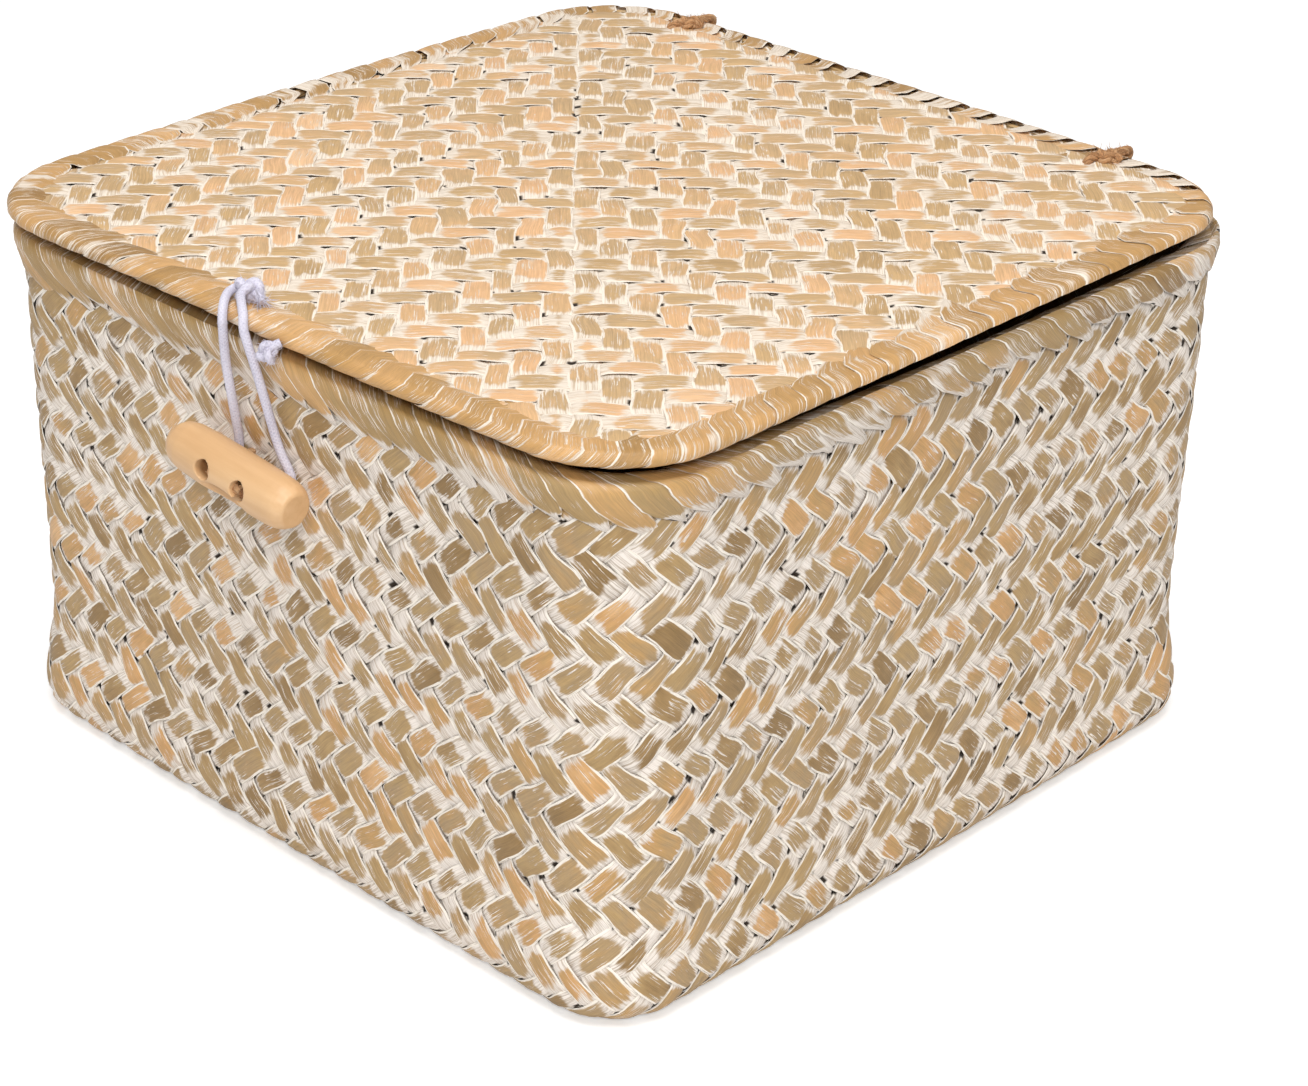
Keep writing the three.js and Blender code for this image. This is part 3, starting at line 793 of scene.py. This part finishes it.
def back_slots(quarter, rng):
    """Along the back and left edges the folded strands draw in on top, with open slots."""
    spread = 1.0
    if 1.85 < quarter < 2.85:
        spread = rng.uniform(0.42, 0.74)
    elif 2.85 < quarter < 3.9:
        spread = rng.uniform(0.66, 0.98)
    shares = np.ones(15)
    shares[9:13] = (1 + spread) / 2, spread, spread, (1 + spread) / 2
    return shares


def front_slant(quarter):
    """Along the front the strands lie slanted round the border."""
    extra = 0.75 * smooth(quarter, 0.02, 0.15) * (1 - smooth(quarter, 0.75, 0.98))
    return extra * np.r_[np.clip((np.arange(12) - 2) / 7, 0, 1), 1.35, 1.8, 2.4]


def rim_slant(quarter):
    """Along the right side the strands sweep round the rim at a flatter angle."""
    rows = np.r_[0.3, 0.3, 0.25, 0.1, np.linspace(-0.1, -0.8, 11), -0.9, -1.0]
    return 0.85 * right_side(quarter) * rows


def rim_tips(quarter, rng):
    """There their tips are slender too."""
    shares = np.ones(17)
    shares[1:4] -= right_side(quarter) * rng.uniform(0.5, 1.2) * np.array([0.3, 0.28, 0.12])
    return shares


def rim_sag(z, out, quarter):
    """The rim slopes inwards, and most along the right side, where its outer bend is higher
    and lies clear of the lid."""
    side = right_side(quarter)
    inward = smooth(-out, -3.3 + 0.45 * side, -1.9 - 0.1 * side)
    inner = 0.4 + 1.3 * side + 1.3 * near(quarter, *RIGHT_MIDDLE)
    inner = inner + 0.6 * near(quarter, *LEFT_FRONT)
    return (inner * inward - 0.75 * side) * smooth(z, BAND_FOOT, RIM_TOP)


def border_sag(z, _, quarter):
    """There the lid's border is drawn up a little, most on its underside."""
    under = 1 - smooth(z, BORDER_UNDER, LID_MID + 0.4)
    middle = near(quarter, *RIGHT_MIDDLE)
    return -0.3 * middle - 0.6 * (right_side(quarter) + middle) * under


OUTER = ("box", "wall_strands", wall_material, "body_outer_weave")
LINING = ("box", "lining_strands", lining_material, "body_lining_weave")


def make_walls():
    outer = round_weave(WALL_STRANDS, WALL_ROWS, WALL_END, 0.0, seed=11, narrow=0.05)
    shapes = dict(middle=0.0, swing=0.4, pitch=7.3, inward=True)
    middle = LINING_INSET + LINING_LAYER / 2
    inner = round_weave(LINING_STRANDS, LINING_ROWS, LINING_END, middle, seed=12, **shapes)
    for both, name, looks in ((outer, "wall_strands_", OUTER), (inner, "lining_strands_", LINING)):
        for ribbons, lean in zip(both, ("rising", "falling")):
            ribbons.build(name + lean, *looks)


def make_bottom():
    half = FOOT_HALF - FOOT_ROUND - 0.5
    corner = FOOT_CORNER - FOOT_ROUND
    base = field_weave(BASE_PITCH, 0.8, half, corner, twill, 13, facing=-1, middle=0.0)
    base.build("base_strands", *OUTER)
    floor = field_weave(LINING_ROWS, 2.6, half, corner, twill, 14, middle=0.0, swing=0.4)
    floor.build("base_lining_strands", *LINING)


def make_rim():
    shapes = dict(narrow=rim_tips, slant=rim_slant, sag=rim_sag, shortening=0.2)
    rim = folded_strands(rim_path(), WALL_STRANDS, 15, 1.16, **shapes)
    rim.build("rim_strands", "box", "fold_strands", fold_material, "body_rim_fold")


def make_lid():
    shapes = dict(middle=-0.15, swing=0.26, crown=0.2, narrow=0.03, fill=1.06)
    room = (LID_PITCH, LID_TOP - 0.35, FIELD_HALF + 4.0, 16.5)
    top = field_weave(*room, lid_over, 21, dive=0.75, hem=3.7, **shapes)
    top.build("lid_strands", "lid", "lid_strands", lid_material, "lid_top_weave")
    shapes = dict(facing=-1, dive=1.0, hem=6.5, middle=0.0, swing=0.4)
    room = (LINING_ROWS, BORDER_UNDER + 0.3, FIELD_HALF + 4.5, 19.5)
    under = field_weave(*room, twill, 22, **shapes)
    under.build("lid_lining_strands", "lid", "lining_strands", lining_material, "lid_lining_weave")
    shapes = dict(narrow=back_slots, slant=front_slant, sag=border_sag, lighter=0.16)
    border = folded_strands(border_path(), BORDER_STRANDS, 23, 1.18, **shapes)
    border.build("border_strands", "lid", "fold_strands", border_material, "lid_border_fold")


# Cords, twine and their knots
def run_length(route):
    return np.r_[0, np.cumsum(np.linalg.norm(np.diff(route, axis=0), axis=1))]


def smooth_route(points, step=0.3):
    """A smooth curve through points, in even steps."""
    points = np.array(points, float)
    first = 2 * points[:1] - points[1:2]
    last = 2 * points[-1:] - points[-2:-1]
    padded = np.concatenate([first, points, last])
    share = np.linspace(0, 1, 24, endpoint=False)[:, None]
    rows = []
    for a, b, c, d in zip(padded, padded[1:], padded[2:], padded[3:]):
        bend = (2 * a - 5 * b + 4 * c - d) * share**2 + (3 * b - a - 3 * c + d) * share**3
        rows.append(b + 0.5 * ((c - a) * share + bend))
    curve = np.concatenate(rows + [points[-1:]])
    lengths = run_length(curve)
    wanted = np.linspace(0, lengths[-1], max(round(lengths[-1] / step), 4) + 1)
    return np.stack([np.interp(wanted, lengths, curve[:, axis]) for axis in range(3)], axis=1)


def turned_sides(route):
    """Two directions square to a route at each of its places, which don't spin round it."""
    ahead = np.gradient(route, axis=0)
    ahead /= np.linalg.norm(ahead, axis=1, keepdims=True)
    side = np.zeros_like(route)
    side[0] = np.cross(ahead[0], (0.31, 0.52, 0.79))
    for index in range(1, len(route)):
        side[index] = side[index - 1]
        side[index] -= ahead[index] * np.dot(side[index - 1], ahead[index])
        side[index] /= np.linalg.norm(side[index])
    side[0] /= np.linalg.norm(side[0])
    return side, np.cross(ahead, side)


def tube(ribbons, route, radius, sides=10, seed=0.0, tone=0.5):
    """A round cord along a route. Its radius may change along it."""
    side, up = turned_sides(route)
    turn = np.linspace(-np.pi, np.pi, sides, endpoint=False)[None, :]
    radius = np.broadcast_to(radius, len(route))[:, None]
    ring = np.cos(turn)[..., None] * side[:, None] + np.sin(turn)[..., None] * up[:, None]
    fibre = rows_of(run_length(route)[:, None], radius * turn, seed)
    place = rows_of(turn / np.pi, np.ones_like(radius), tone)
    ribbons.add(route[:, None] + radius[..., None] * ring, fibre, place, flip=True)


def twine(ribbons, route, radius, rng, plies=3, pitch=4.6, shades=(0.2, 0.8)):
    """Twisted plies round a route."""
    side, up = turned_sides(route)
    along = run_length(route)
    for ply in range(plies):
        angle = (2 * np.pi * (along / pitch + ply / plies))[:, None]
        centre = route + radius * 0.5 * (np.cos(angle) * side + np.sin(angle) * up)
        tube(ribbons, centre, radius * 0.55, 8, rng.uniform(*SEEDS), rng.uniform(*shades))


def fuzz(ribbons, rng, route, radius, count, length, spread=1.0, hair=0.07):
    """Short loose fibres that stand off a cord."""
    side, up = turned_sides(route)
    ahead = np.cross(side, up)
    share = np.linspace(0, 1, 4)[:, None]
    thinning = hair * np.array([1.0, 0.9, 0.7, 0.3])
    for _ in range(count):
        at = rng.randint(len(route))
        turn = rng.uniform(0, 2 * np.pi)
        out = math.cos(turn) * side[at] + math.sin(turn) * up[at]
        lean = ahead[at] * rng.uniform(-1, 1) * spread + rng.uniform(-0.4, 0.4, 3)
        reach = length * rng.uniform(0.5, 1.2)
        start = route[at] + out * radius * 0.85
        line = start + reach * (share * (out * 0.7 + lean * 0.5) + share**2 * lean * 0.5)
        tube(ribbons, line, thinning, 3, rng.uniform(*SEEDS))


def fuzzy_cord(ribbons, rng, route, radius, sides, count, length, hair):
    tube(ribbons, route, radius, sides)
    fuzz(ribbons, rng, route, radius, count, length, hair=hair)


def knot_route(centre, size, turn=0.0):
    """A trefoil knot that fits a box of the given half sizes."""
    share = np.linspace(0, 2 * np.pi, 160)[::4]
    x = (np.sin(share) + 2 * np.sin(2 * share)) / 3
    y = (np.cos(share) - 2 * np.cos(2 * share)) / 3
    cos, sin = math.cos(turn), math.sin(turn)
    flat = np.stack([x * cos - y * sin, x * sin + y * cos, -np.sin(3 * share)], axis=1)
    return smooth_route(np.array(centre) + flat * np.array(size), 0.25)


def twine_material():
    g = new_graph("plant_twine")
    fibre = g.attribute("fibre")
    tone = g.parts(g.attribute("place"))[2]
    strands = g.drawn(fibre, (0.5, 7.0, 1.0), 3.0, 0.7)
    patches = g.drawn(fibre, (0.4, 0.8, 1.0))
    shade = g.line(strands, 0.9, g.line(tone, 0.3, -0.15))
    shade = g.plus(shade, g.line(patches, 0.3, -0.15))
    stops = tones(
        (0.2, 140, 94, 56), (0.4, 198, 146, 100), (0.6, 224, 180, 134), (0.8, 240, 212, 178)
    )
    return g.finish(g.ramp(shade, stops), 0.9, strands, depth=0.0006, strength=0.8)


def elastic_material():
    """A braided cover: two sets of fine threads wound round the cord in opposite directions."""
    g = new_graph("braided_cover")
    fibre = g.attribute("fibre")
    along = g.parts(fibre)[0]
    around = g.parts(g.attribute("place"))[0]
    turned = g.times(around, 5 * math.pi)
    left = g.math("SINE", g.line(along, 9.0, turned))
    right = g.math("SINE", g.line(along, 9.0, g.times(turned, -1.0)))
    braid = g.line(g.most(left, right), 0.5, 0.5)
    threads = g.drawn(fibre, (3.0, 6.0, 1.0), 3.0)
    wear = g.noise(g.object_place(), scale=160.0, detail=3.0)
    shade = g.line(braid, 0.12, g.times(threads, 0.6))
    shade = g.plus(shade, g.line(wear, 0.4, -0.08))
    stops = tones((0.2, 170, 164, 184), (0.5, 212, 208, 222), (0.8, 238, 236, 246))
    height = g.line(threads, 0.5, braid)
    return g.finish(g.ramp(shade, stops), 0.85, height, depth=0.0002, strength=0.4)


def wood_material():
    """Pale turned wood: faint grain along the barrel, darker inside the cuts."""
    g = new_graph("toggle_wood")
    place = g.object_place()
    along, deep, high = g.parts(place)
    grain = g.drawn(place, (60.0, 700.0, 700.0), 3.0, 0.6)
    bands = g.drawn(place, (25.0, 160.0, 160.0))
    pores = g.drawn(place, (260.0, 2600.0, 2600.0))
    squares = g.plus(g.math("POWER", deep, 2.0), g.math("POWER", high, 2.0))
    from_axis = g.math("SQRT", squares)
    shade = g.line(grain, 0.45, g.times(bands, 0.55))
    stops = tones((0.25, 204, 160, 112), (0.5, 216, 174, 127), (0.75, 228, 189, 144))
    cut_colour = g.mix(grain, rgb(120, 76, 40), rgb(196, 146, 92))
    inside = g.step(from_axis, TOGGLE_RADIUS * MM * 0.86, TOGGLE_RADIUS * MM * 0.6)
    middle = g.step(g.math("ABSOLUTE", along), CUTS_END * MM, (CUTS_END - 1.5) * MM)
    inside = g.times(inside, middle)
    colour = g.mix(inside, g.ramp(shade, stops), cut_colour)
    height = g.line(pores, 0.4, grain)
    return g.finish(colour, g.line(inside, 0.4, 0.42), height, depth=0.0002, strength=0.25)


# The toggle. A row of its outline has its place along the half length and its share of the radius
BARREL_SHARES = (
    (-1.0, 0.0), (-0.995, 0.22), (-0.975, 0.45), (-0.93, 0.67), (-0.85, 0.84),
    (-0.72, 0.94), (-0.45, 0.985), (0.0, 1.0), (0.5, 0.99), (0.76, 0.96),
    (0.85, 0.92), (0.9, 0.87), (0.985, 0.7), (1.0, 0.62), (1.0, 0.0),
)


def lathe(name, shares, radius, half, sides=64):
    """A turned body along X."""
    turn = np.linspace(0, 2 * np.pi, sides, endpoint=False)
    points = [(shares[0][0] * half, 0.0, 0.0)]
    for along, out in shares[1:-1]:
        reach = out * radius
        points += [(along * half, reach * math.cos(t), reach * math.sin(t)) for t in turn]
    points.append((shares[-1][0] * half, 0.0, 0.0))
    faces = []
    rings = len(shares) - 2
    for side in range(sides):
        after = (side + 1) % sides
        faces.append((0, 1 + after, 1 + side))
        for ring in range(rings - 1):
            low, high = 1 + ring * sides, 1 + (ring + 1) * sides
            faces.append((low + side, low + after, high + after, high + side))
        last = 1 + (rings - 1) * sides
        faces.append((last + side, last + after, len(points) - 1))
    mesh = bpy.data.meshes.new(name)
    mesh.from_pydata((np.array(points) * MM).tolist(), [], faces)
    return linked(name, mesh)


def toggle_drills():
    """What the two cord holes take out of the barrel."""
    shares = [(-1.0, 0.0), (-1.0, 1.0), (1.0, 1.0), (1.0, 0.0)]
    turn = Matrix.Rotation(-HOLE_SLOPE, 4, "X") @ Matrix.Rotation(QUARTER_TURN, 4, "Z")
    drills = []
    for x in TOGGLE_HOLES:
        drill = lathe("drill", shares, HOLE_RADIUS, DRILL_REACH, sides=32)
        drill.data.transform(moved_to((x, 0, 0)) @ turn)
        drills.append(drill)
    return drills


def toggle_hollow():
    """The egg that the carved hollow takes out of the barrel."""
    rows = np.linspace(-QUARTER_TURN, QUARTER_TURN, 25)[1:-1]
    shares = [(-1.0, 0.0), *((math.sin(row), math.cos(row)) for row in rows), (1.0, 0.0)]
    egg = lathe("hollow", shares, 1.0, 1.0, sides=32)
    out = TOGGLE_RADIUS + HOLLOW_SIZES[1] - HOLLOW_DEPTH
    centre = (1.5, -out * math.cos(HOLLOW_TURN), out * math.sin(HOLLOW_TURN))
    egg.data.transform(moved_to(centre) @ Matrix.Diagonal((*HOLLOW_SIZES, 1.0)))
    return egg


def carved(barrel, cutters):
    """The mesh of the barrel without what the cutters take out, with its edges eased."""
    for cutter in cutters:
        modifier = barrel.modifiers.new("cut", "BOOLEAN")
        modifier.operation = "DIFFERENCE"
        modifier.solver = "EXACT"
        modifier.object = cutter
    remesh = barrel.modifiers.new("even", "REMESH")
    remesh.mode = "VOXEL"
    remesh.voxel_size = 0.2 * MM
    remesh.use_smooth_shade = True
    soften = barrel.modifiers.new("soften", "SMOOTH")
    soften.factor = 0.5
    soften.iterations = 4
    graph = bpy.context.evaluated_depsgraph_get()
    mesh = bpy.data.meshes.new_from_object(barrel.evaluated_get(graph))
    for scrap in (barrel, *cutters):
        bpy.data.objects.remove(scrap)
    return mesh


def make_toggle():
    barrel = lathe("barrel_blank", BARREL_SHARES, TOGGLE_RADIUS, TOGGLE_HALF)
    mesh = carved(barrel, [*toggle_drills(), toggle_hollow()])
    mesh.name = "toggle_barrel"
    mesh.materials.clear()
    mesh.materials.append(wood_material())
    toggle = linked("toggle_barrel", mesh)
    toggle.matrix_world = moved_to(TOGGLE_PLACE) @ Matrix.Rotation(TOGGLE_TILT, 4, "Y")
    placed(toggle, "toggle", "toggle")


def on_toggle(along, y):
    """A place given along the toggle's axis, at a depth."""
    x, _, z = TOGGLE_PLACE
    return (x + along * math.cos(TOGGLE_TILT), y, z - along * math.sin(TOGGLE_TILT))


def toggle_route(*places):
    return smooth_route([on_toggle(*place) for place in places])


def make_lashing(material):
    """Twine through both holes, crossed on the front and knotted inside the wall."""
    rng = np.random.RandomState(31)
    ribbons = Ribbons()
    left, right = TOGGLE_HOLES
    middle = (left + right) / 2
    inside = WALL_DEPTH - SHOULDER_HALF + 1.3
    front = TOGGLE_PLACE[1]
    route = toggle_route(
        (middle - 1.2, inside + 0.6), (left + 1.6, inside + 0.1), (left, inside - 2.0),
        (left, front), (left + 0.5, front - 2.4), (left + 2.0, front - 3.1),
        (right - 2.0, front - 3.1), (right - 0.5, front - 2.6), (right, front),
        (right, inside - 2.0), (right - 1.6, inside + 0.1), (middle + 1.2, inside + 0.6),
    )
    loop = toggle_route(
        (right - 0.7, front + 0.5), (right - 0.2, front - 2.4), (right + 0.6, front - 3.4),
        (right + 1.0, front - 2.6), (right + 0.6, front + 0.5),
    )
    twine(ribbons, route, LASHING_RADIUS, rng)
    # The loop in the right hole gets darker tones: painted shade of the hole
    twine(ribbons, loop, 0.75, rng, pitch=2.8, shades=(-0.6, 0.0))
    fuzz(ribbons, rng, route, LASHING_RADIUS, 60, 1.2)
    fuzz(ribbons, rng, loop, 0.7, 40, 0.9)
    twine(ribbons, knot_route(on_toggle(middle, inside + 0.9), (1.9, 0.9, 1.6)), 0.85, rng)
    for side in (-1, 1):
        hanging = (on_toggle(middle + side * 4.2, 0)[0], inside + 0.6, TOGGLE_PLACE[2] - 2.5)
        bend = on_toggle(middle + side * 2.5, inside + 1.2)
        end = smooth_route([on_toggle(middle, inside + 0.8), bend, hanging])
        twine(ribbons, end, 0.8, rng)
        fuzz(ribbons, rng, end[-6:], 0.5, 14, 1.6)
    lashing = ribbons.build("lashing_twine", None, "twine", material, "toggle_lashing")
    start, end = (Vector(on_toggle(middle, y)) * MM for y in (-85.0, -88.6))
    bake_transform(lashing)


def tie_route(x, shift, top):
    """Down through the lid, round inside the rim, out through the wall and up outside."""
    clear = TWINE_RADIUS + WEAVE_GAP
    back = LID_HALF + clear
    inside = RIM_RING[0] - FOLD_REACH - BODY_BOW - clear
    points = [
        (x + shift * 0.8, TIE_Y + 3.2, top + 0.2), (x + 0.3, TIE_Y + clear, top),
        (x, TIE_Y, LID_TOP - 0.8), (x, TIE_Y, LID_TOP - LID_THICKNESS),
        (x, inside, FOLD_SPRING), (x, inside, BAND_FOOT), (x, inside + clear, TIE_BORE),
        (x, SHOULDER_HALF - WALL_DEPTH, TIE_BORE), (x, SHOULDER_HALF, TIE_BORE),
        (x, LID_HALF, TIE_BORE), (x + shift * 0.2, back, BAND_FOOT),
        (x + shift * 0.5, back, LID_MID - 1), (x + shift * 0.8, back - WEAVE_GAP, LID_TOP - 0.3),
        (x + shift, LID_HALF - EDGE_RADIUS, top), (x + shift, TIE_Y + 3.6, top + 0.4),
    ]
    return smooth_route(points, 0.35)


def make_tie(side, x, shift, seed, material):
    """A loop of twine round the lid's border and the rim, knotted on top."""
    rng = np.random.RandomState(seed)
    top = LID_TOP + TWINE_RADIUS + WEAVE_GAP - 0.7
    route = tie_route(x, shift, top)
    ribbons = Ribbons()
    twine(ribbons, route, TWINE_RADIUS, rng)
    fuzz(ribbons, rng, route, TWINE_RADIUS, 90, 1.1)
    centre = np.array((x + shift, TIE_Y + 3.6, top + 0.1))
    knot = knot_route(centre, (1.6, 1.5, 0.6), turn=0.4)
    twine(ribbons, knot, TWINE_RADIUS, rng)
    fuzz(ribbons, rng, knot, 1.0, 90, 1.5)
    for way in (-1, 1):
        bends = ((0.0, 0.0, 0.0), (way * 1.4, way * 0.9, 0.3), (way * 2.4, way * 1.4, -0.4))
        end = smooth_route([centre + bend for bend in bends])
        twine(ribbons, end, TWINE_RADIUS * 0.85, rng)
        fuzz(ribbons, rng, end[-5:], 0.5, 26, 1.9)
    tie = ribbons.build("tie_twine_" + side, None, "twine", material, "hinge_tie_" + side)
    start, end = ((x * MM, HINGE_Y * MM, z * MM) for z in (102.5, 108.0))
    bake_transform(tie)


def over_lid(*points, step=0.3):
    """A route whose heights are given above the lid's top."""
    return smooth_route([(x, y, LID_TOP + rise) for x, y, rise in points], step)


def make_elastic_knot(material, rng):
    """The knot on the lid, its two strands to the lid's edge, its tail and its stem."""
    knot = Ribbons()
    lump = knot_route((-8.2, -82.5, LID_TOP + 1.9), (2.1, 1.9, 1.0), turn=0.3)
    fuzzy_cord(knot, rng, lump, 0.95, 12, 260, 0.9, 0.06)
    at_edge = ELASTIC_Z - 0.3 - LID_TOP
    left = over_lid(
        (-8.4, -82.2, 2.2), (-10.6, -82.4, 1.7), (-10.9, -84.2, 1.4), (-9.6, -86.4, 1.2),
        (-8.1, -88.2, 0.2), (-7.5, ELASTIC_Y, -1.6), (-7.5, ELASTIC_Y, at_edge),
    )
    right = over_lid(
        (-8.0, -82.8, 2.4), (-7.2, -84.8, 2.0), (-5.2, -86.4, 1.4), (-3.0, -87.9, 0.6),
        (-1.9, ELASTIC_Y + 0.1, -1.2), (-1.5, ELASTIC_Y, at_edge),
    )
    for route in (left, right):
        fuzzy_cord(knot, rng, route, ELASTIC_RADIUS, 14, 40, 0.4, 0.05)
    tail = over_lid((-7.8, -82.6, 1.9), (-5.6, -82.4, 1.6), (-3.9, -82.8, 0.9))
    tube(knot, tail, np.linspace(0.95, 0.6, len(tail)), 12)
    fuzz(knot, rng, tail[-5:], 0.45, 90, 1.9, spread=1.6)
    tube(knot, over_lid((-8.0, -82.6, 1.5), (-8.0, -82.6, -4.2), step=1.0), 0.8)
    knot.build("elastic_knot", "lid", "elastic", material, "elastic_anchor")


def make_elastic_loop(material, rng):
    """From the lid's edge down, round behind the toggle and up again."""
    (left, _, left_z), (right, _, right_z) = (on_toggle(x, 0) for x in TOGGLE_HOLES)
    behind = -86.1
    points = [
        (-7.5, ELASTIC_Y, ELASTIC_Z), (-7.6, -88.8, 104.5), (-7.8, -88.3, 99.5),
        (-7.7, -87.4, 92.5), (-7.9, behind - 0.2, 86.0), (left - 2.3, behind, left_z),
        (left - 1.0, behind, left_z - 2.1), ((left + right) / 2, behind, right_z - 2.4),
        (right + 1.0, behind, right_z - 2.1), (right + 2.2, behind, right_z + 0.6),
        (4.0, behind - 0.2, 85.5), (2.7, -86.6, 89.0), (1.3, -87.5, 96.0),
        (0.0, -88.3, 102.0), (-0.9, -88.8, 105.6), (-1.5, ELASTIC_Y, ELASTIC_Z),
    ]
    loop = Ribbons()
    fuzzy_cord(loop, rng, smooth_route(points, 0.4), ELASTIC_RADIUS, 14, 160, 0.35, 0.045)
    cord = loop.build("elastic_cord", None, "elastic", material, "elastic_loop")
    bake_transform(cord)


def make_elastic_end(material, rng):
    """The small knot that hangs under the lid's edge, and its stub."""
    end_knot = Ribbons()
    centre = (4.9, -89.3, 106.2)
    facing = Matrix.Rotation(math.radians(70), 3, "X")
    lump = knot_route((0, 0, 0), (1.5, 1.5, 0.8), turn=0.9) @ np.array(facing).T + np.array(centre)
    fuzzy_cord(end_knot, rng, lump, 0.75, 12, 240, 0.8, 0.06)
    stub = smooth_route([centre, (5.6, -88.6, 107.4), (6.3, -87.4, 108.0)])
    fuzzy_cord(end_knot, rng, stub, 0.8, 12, 20, 0.5, 0.05)
    end_knot.build("elastic_end", "lid", "elastic", material, "elastic_end_knot")


def make_core(name, body, node, ring, height, radius, seed, stalks=6):
    """A bundle of thin stalks round a ring, twisted a little."""
    rng = np.random.RandomState(seed)
    ribbons = Ribbons()
    quarter = np.linspace(0, 4, 400)[:-1]
    for stalk in range(stalks):
        turn = 2 * np.pi * (stalk / stalks + quarter * 1.5)
        x, y = ring_place(ring, quarter, radius * 0.6 * np.cos(turn))
        z = height + radius * 0.6 * np.sin(turn)
        tube(ribbons, rows_of(x, y, z), radius * 0.42, 6, rng.uniform(*SEEDS))
    ribbons.build(name, body, "core_stalks", lining_material, node)


def make_cores():
    make_core("rim_core_stalks", "box", "body_rim_core", RIM_RING, FOLD_SPRING - 1.8, 1.2, 35)
    height = LID_MID + 0.15
    make_core("border_core_stalks", "lid", "lid_border_core", BORDER_RING, height, 0.85, 36)


def make_fastenings():
    twine_look = twine_material()
    make_toggle()
    make_lashing(twine_look)
    for side, x, shift, seed in TIES:
        make_tie(side, x, shift, seed, twine_look)
    elastic_look = elastic_material()
    rng = np.random.RandomState(34)
    make_elastic_knot(elastic_look, rng)
    make_elastic_loop(elastic_look, rng)
    make_elastic_end(elastic_look, rng)


# Light, floor and background
WORLD_LIGHT = 0.35
FLOOR_REACH = 3.0
FLOOR_GREY = 0.86
FLOOR_GLOW = 0.3  # seen by the camera alone


def make_world():
    """White where it is seen, and a faint even light on the object."""
    world = bpy.data.worlds.new("world")
    bpy.context.scene.world = world
    g = Graph(world, "OutputWorld")
    path = g.node("LightPath").outputs
    seen = g.most(path["Is Camera Ray"], path["Is Transmission Ray"])
    white = (1.0, 1.0, 1.0, 1.0)
    lit, plain = (g.fed("Background", white, strength) for strength in (WORLD_LIGHT, 1.0))
    g.put(g.output.inputs[0], g.fed("MixShader", seen, lit, plain))


def make_floor():
    mesh = bpy.data.meshes.new("floor")
    ways = ((-1, -1), (1, -1), (1, 1), (-1, 1))
    mesh.from_pydata([(FLOOR_REACH * x, FLOOR_REACH * y, 0) for x, y in ways], [], [(0, 1, 2, 3)])
    linked("floor", mesh)
    g = new_graph("floor")
    shade = g.fed("BsdfDiffuse", (FLOOR_GREY, FLOOR_GREY, FLOOR_GREY, 1.0))
    glow = g.node("Emission")
    seen = g.node("LightPath").outputs["Is Camera Ray"]
    g.put(glow.inputs[1], g.times(seen, FLOOR_GLOW))
    g.put(g.output.inputs[0], g.fed("AddShader", shade, glow.outputs[0]))
    mesh.materials.append(g.owner)


def make_light(name, place, size, power):
    """A round lamp at a place in metres, that faces the object's middle."""
    data = bpy.data.lights.new(name, "AREA")
    data.shape = "DISK"
    data.size = size
    data.energy = power
    lamp = linked(name, data)
    away = Vector(place) - Vector((0.0, 0.0, 0.06))
    lamp.location = place
    lamp.rotation_euler = away.to_track_quat("Z", "Y").to_euler()


make_camera()
make_world()
make_floor()
make_light("key", (0.2, -0.2, 1.3), size=0.8, power=10.0)
make_light("fill", (1.5, -1.5, 1.65), size=0.75, power=32.2)
make_walls()
make_bottom()
make_rim()
make_lid()
make_fastenings()
make_cores()

bpy.context.scene.view_settings.view_transform = "Standard"
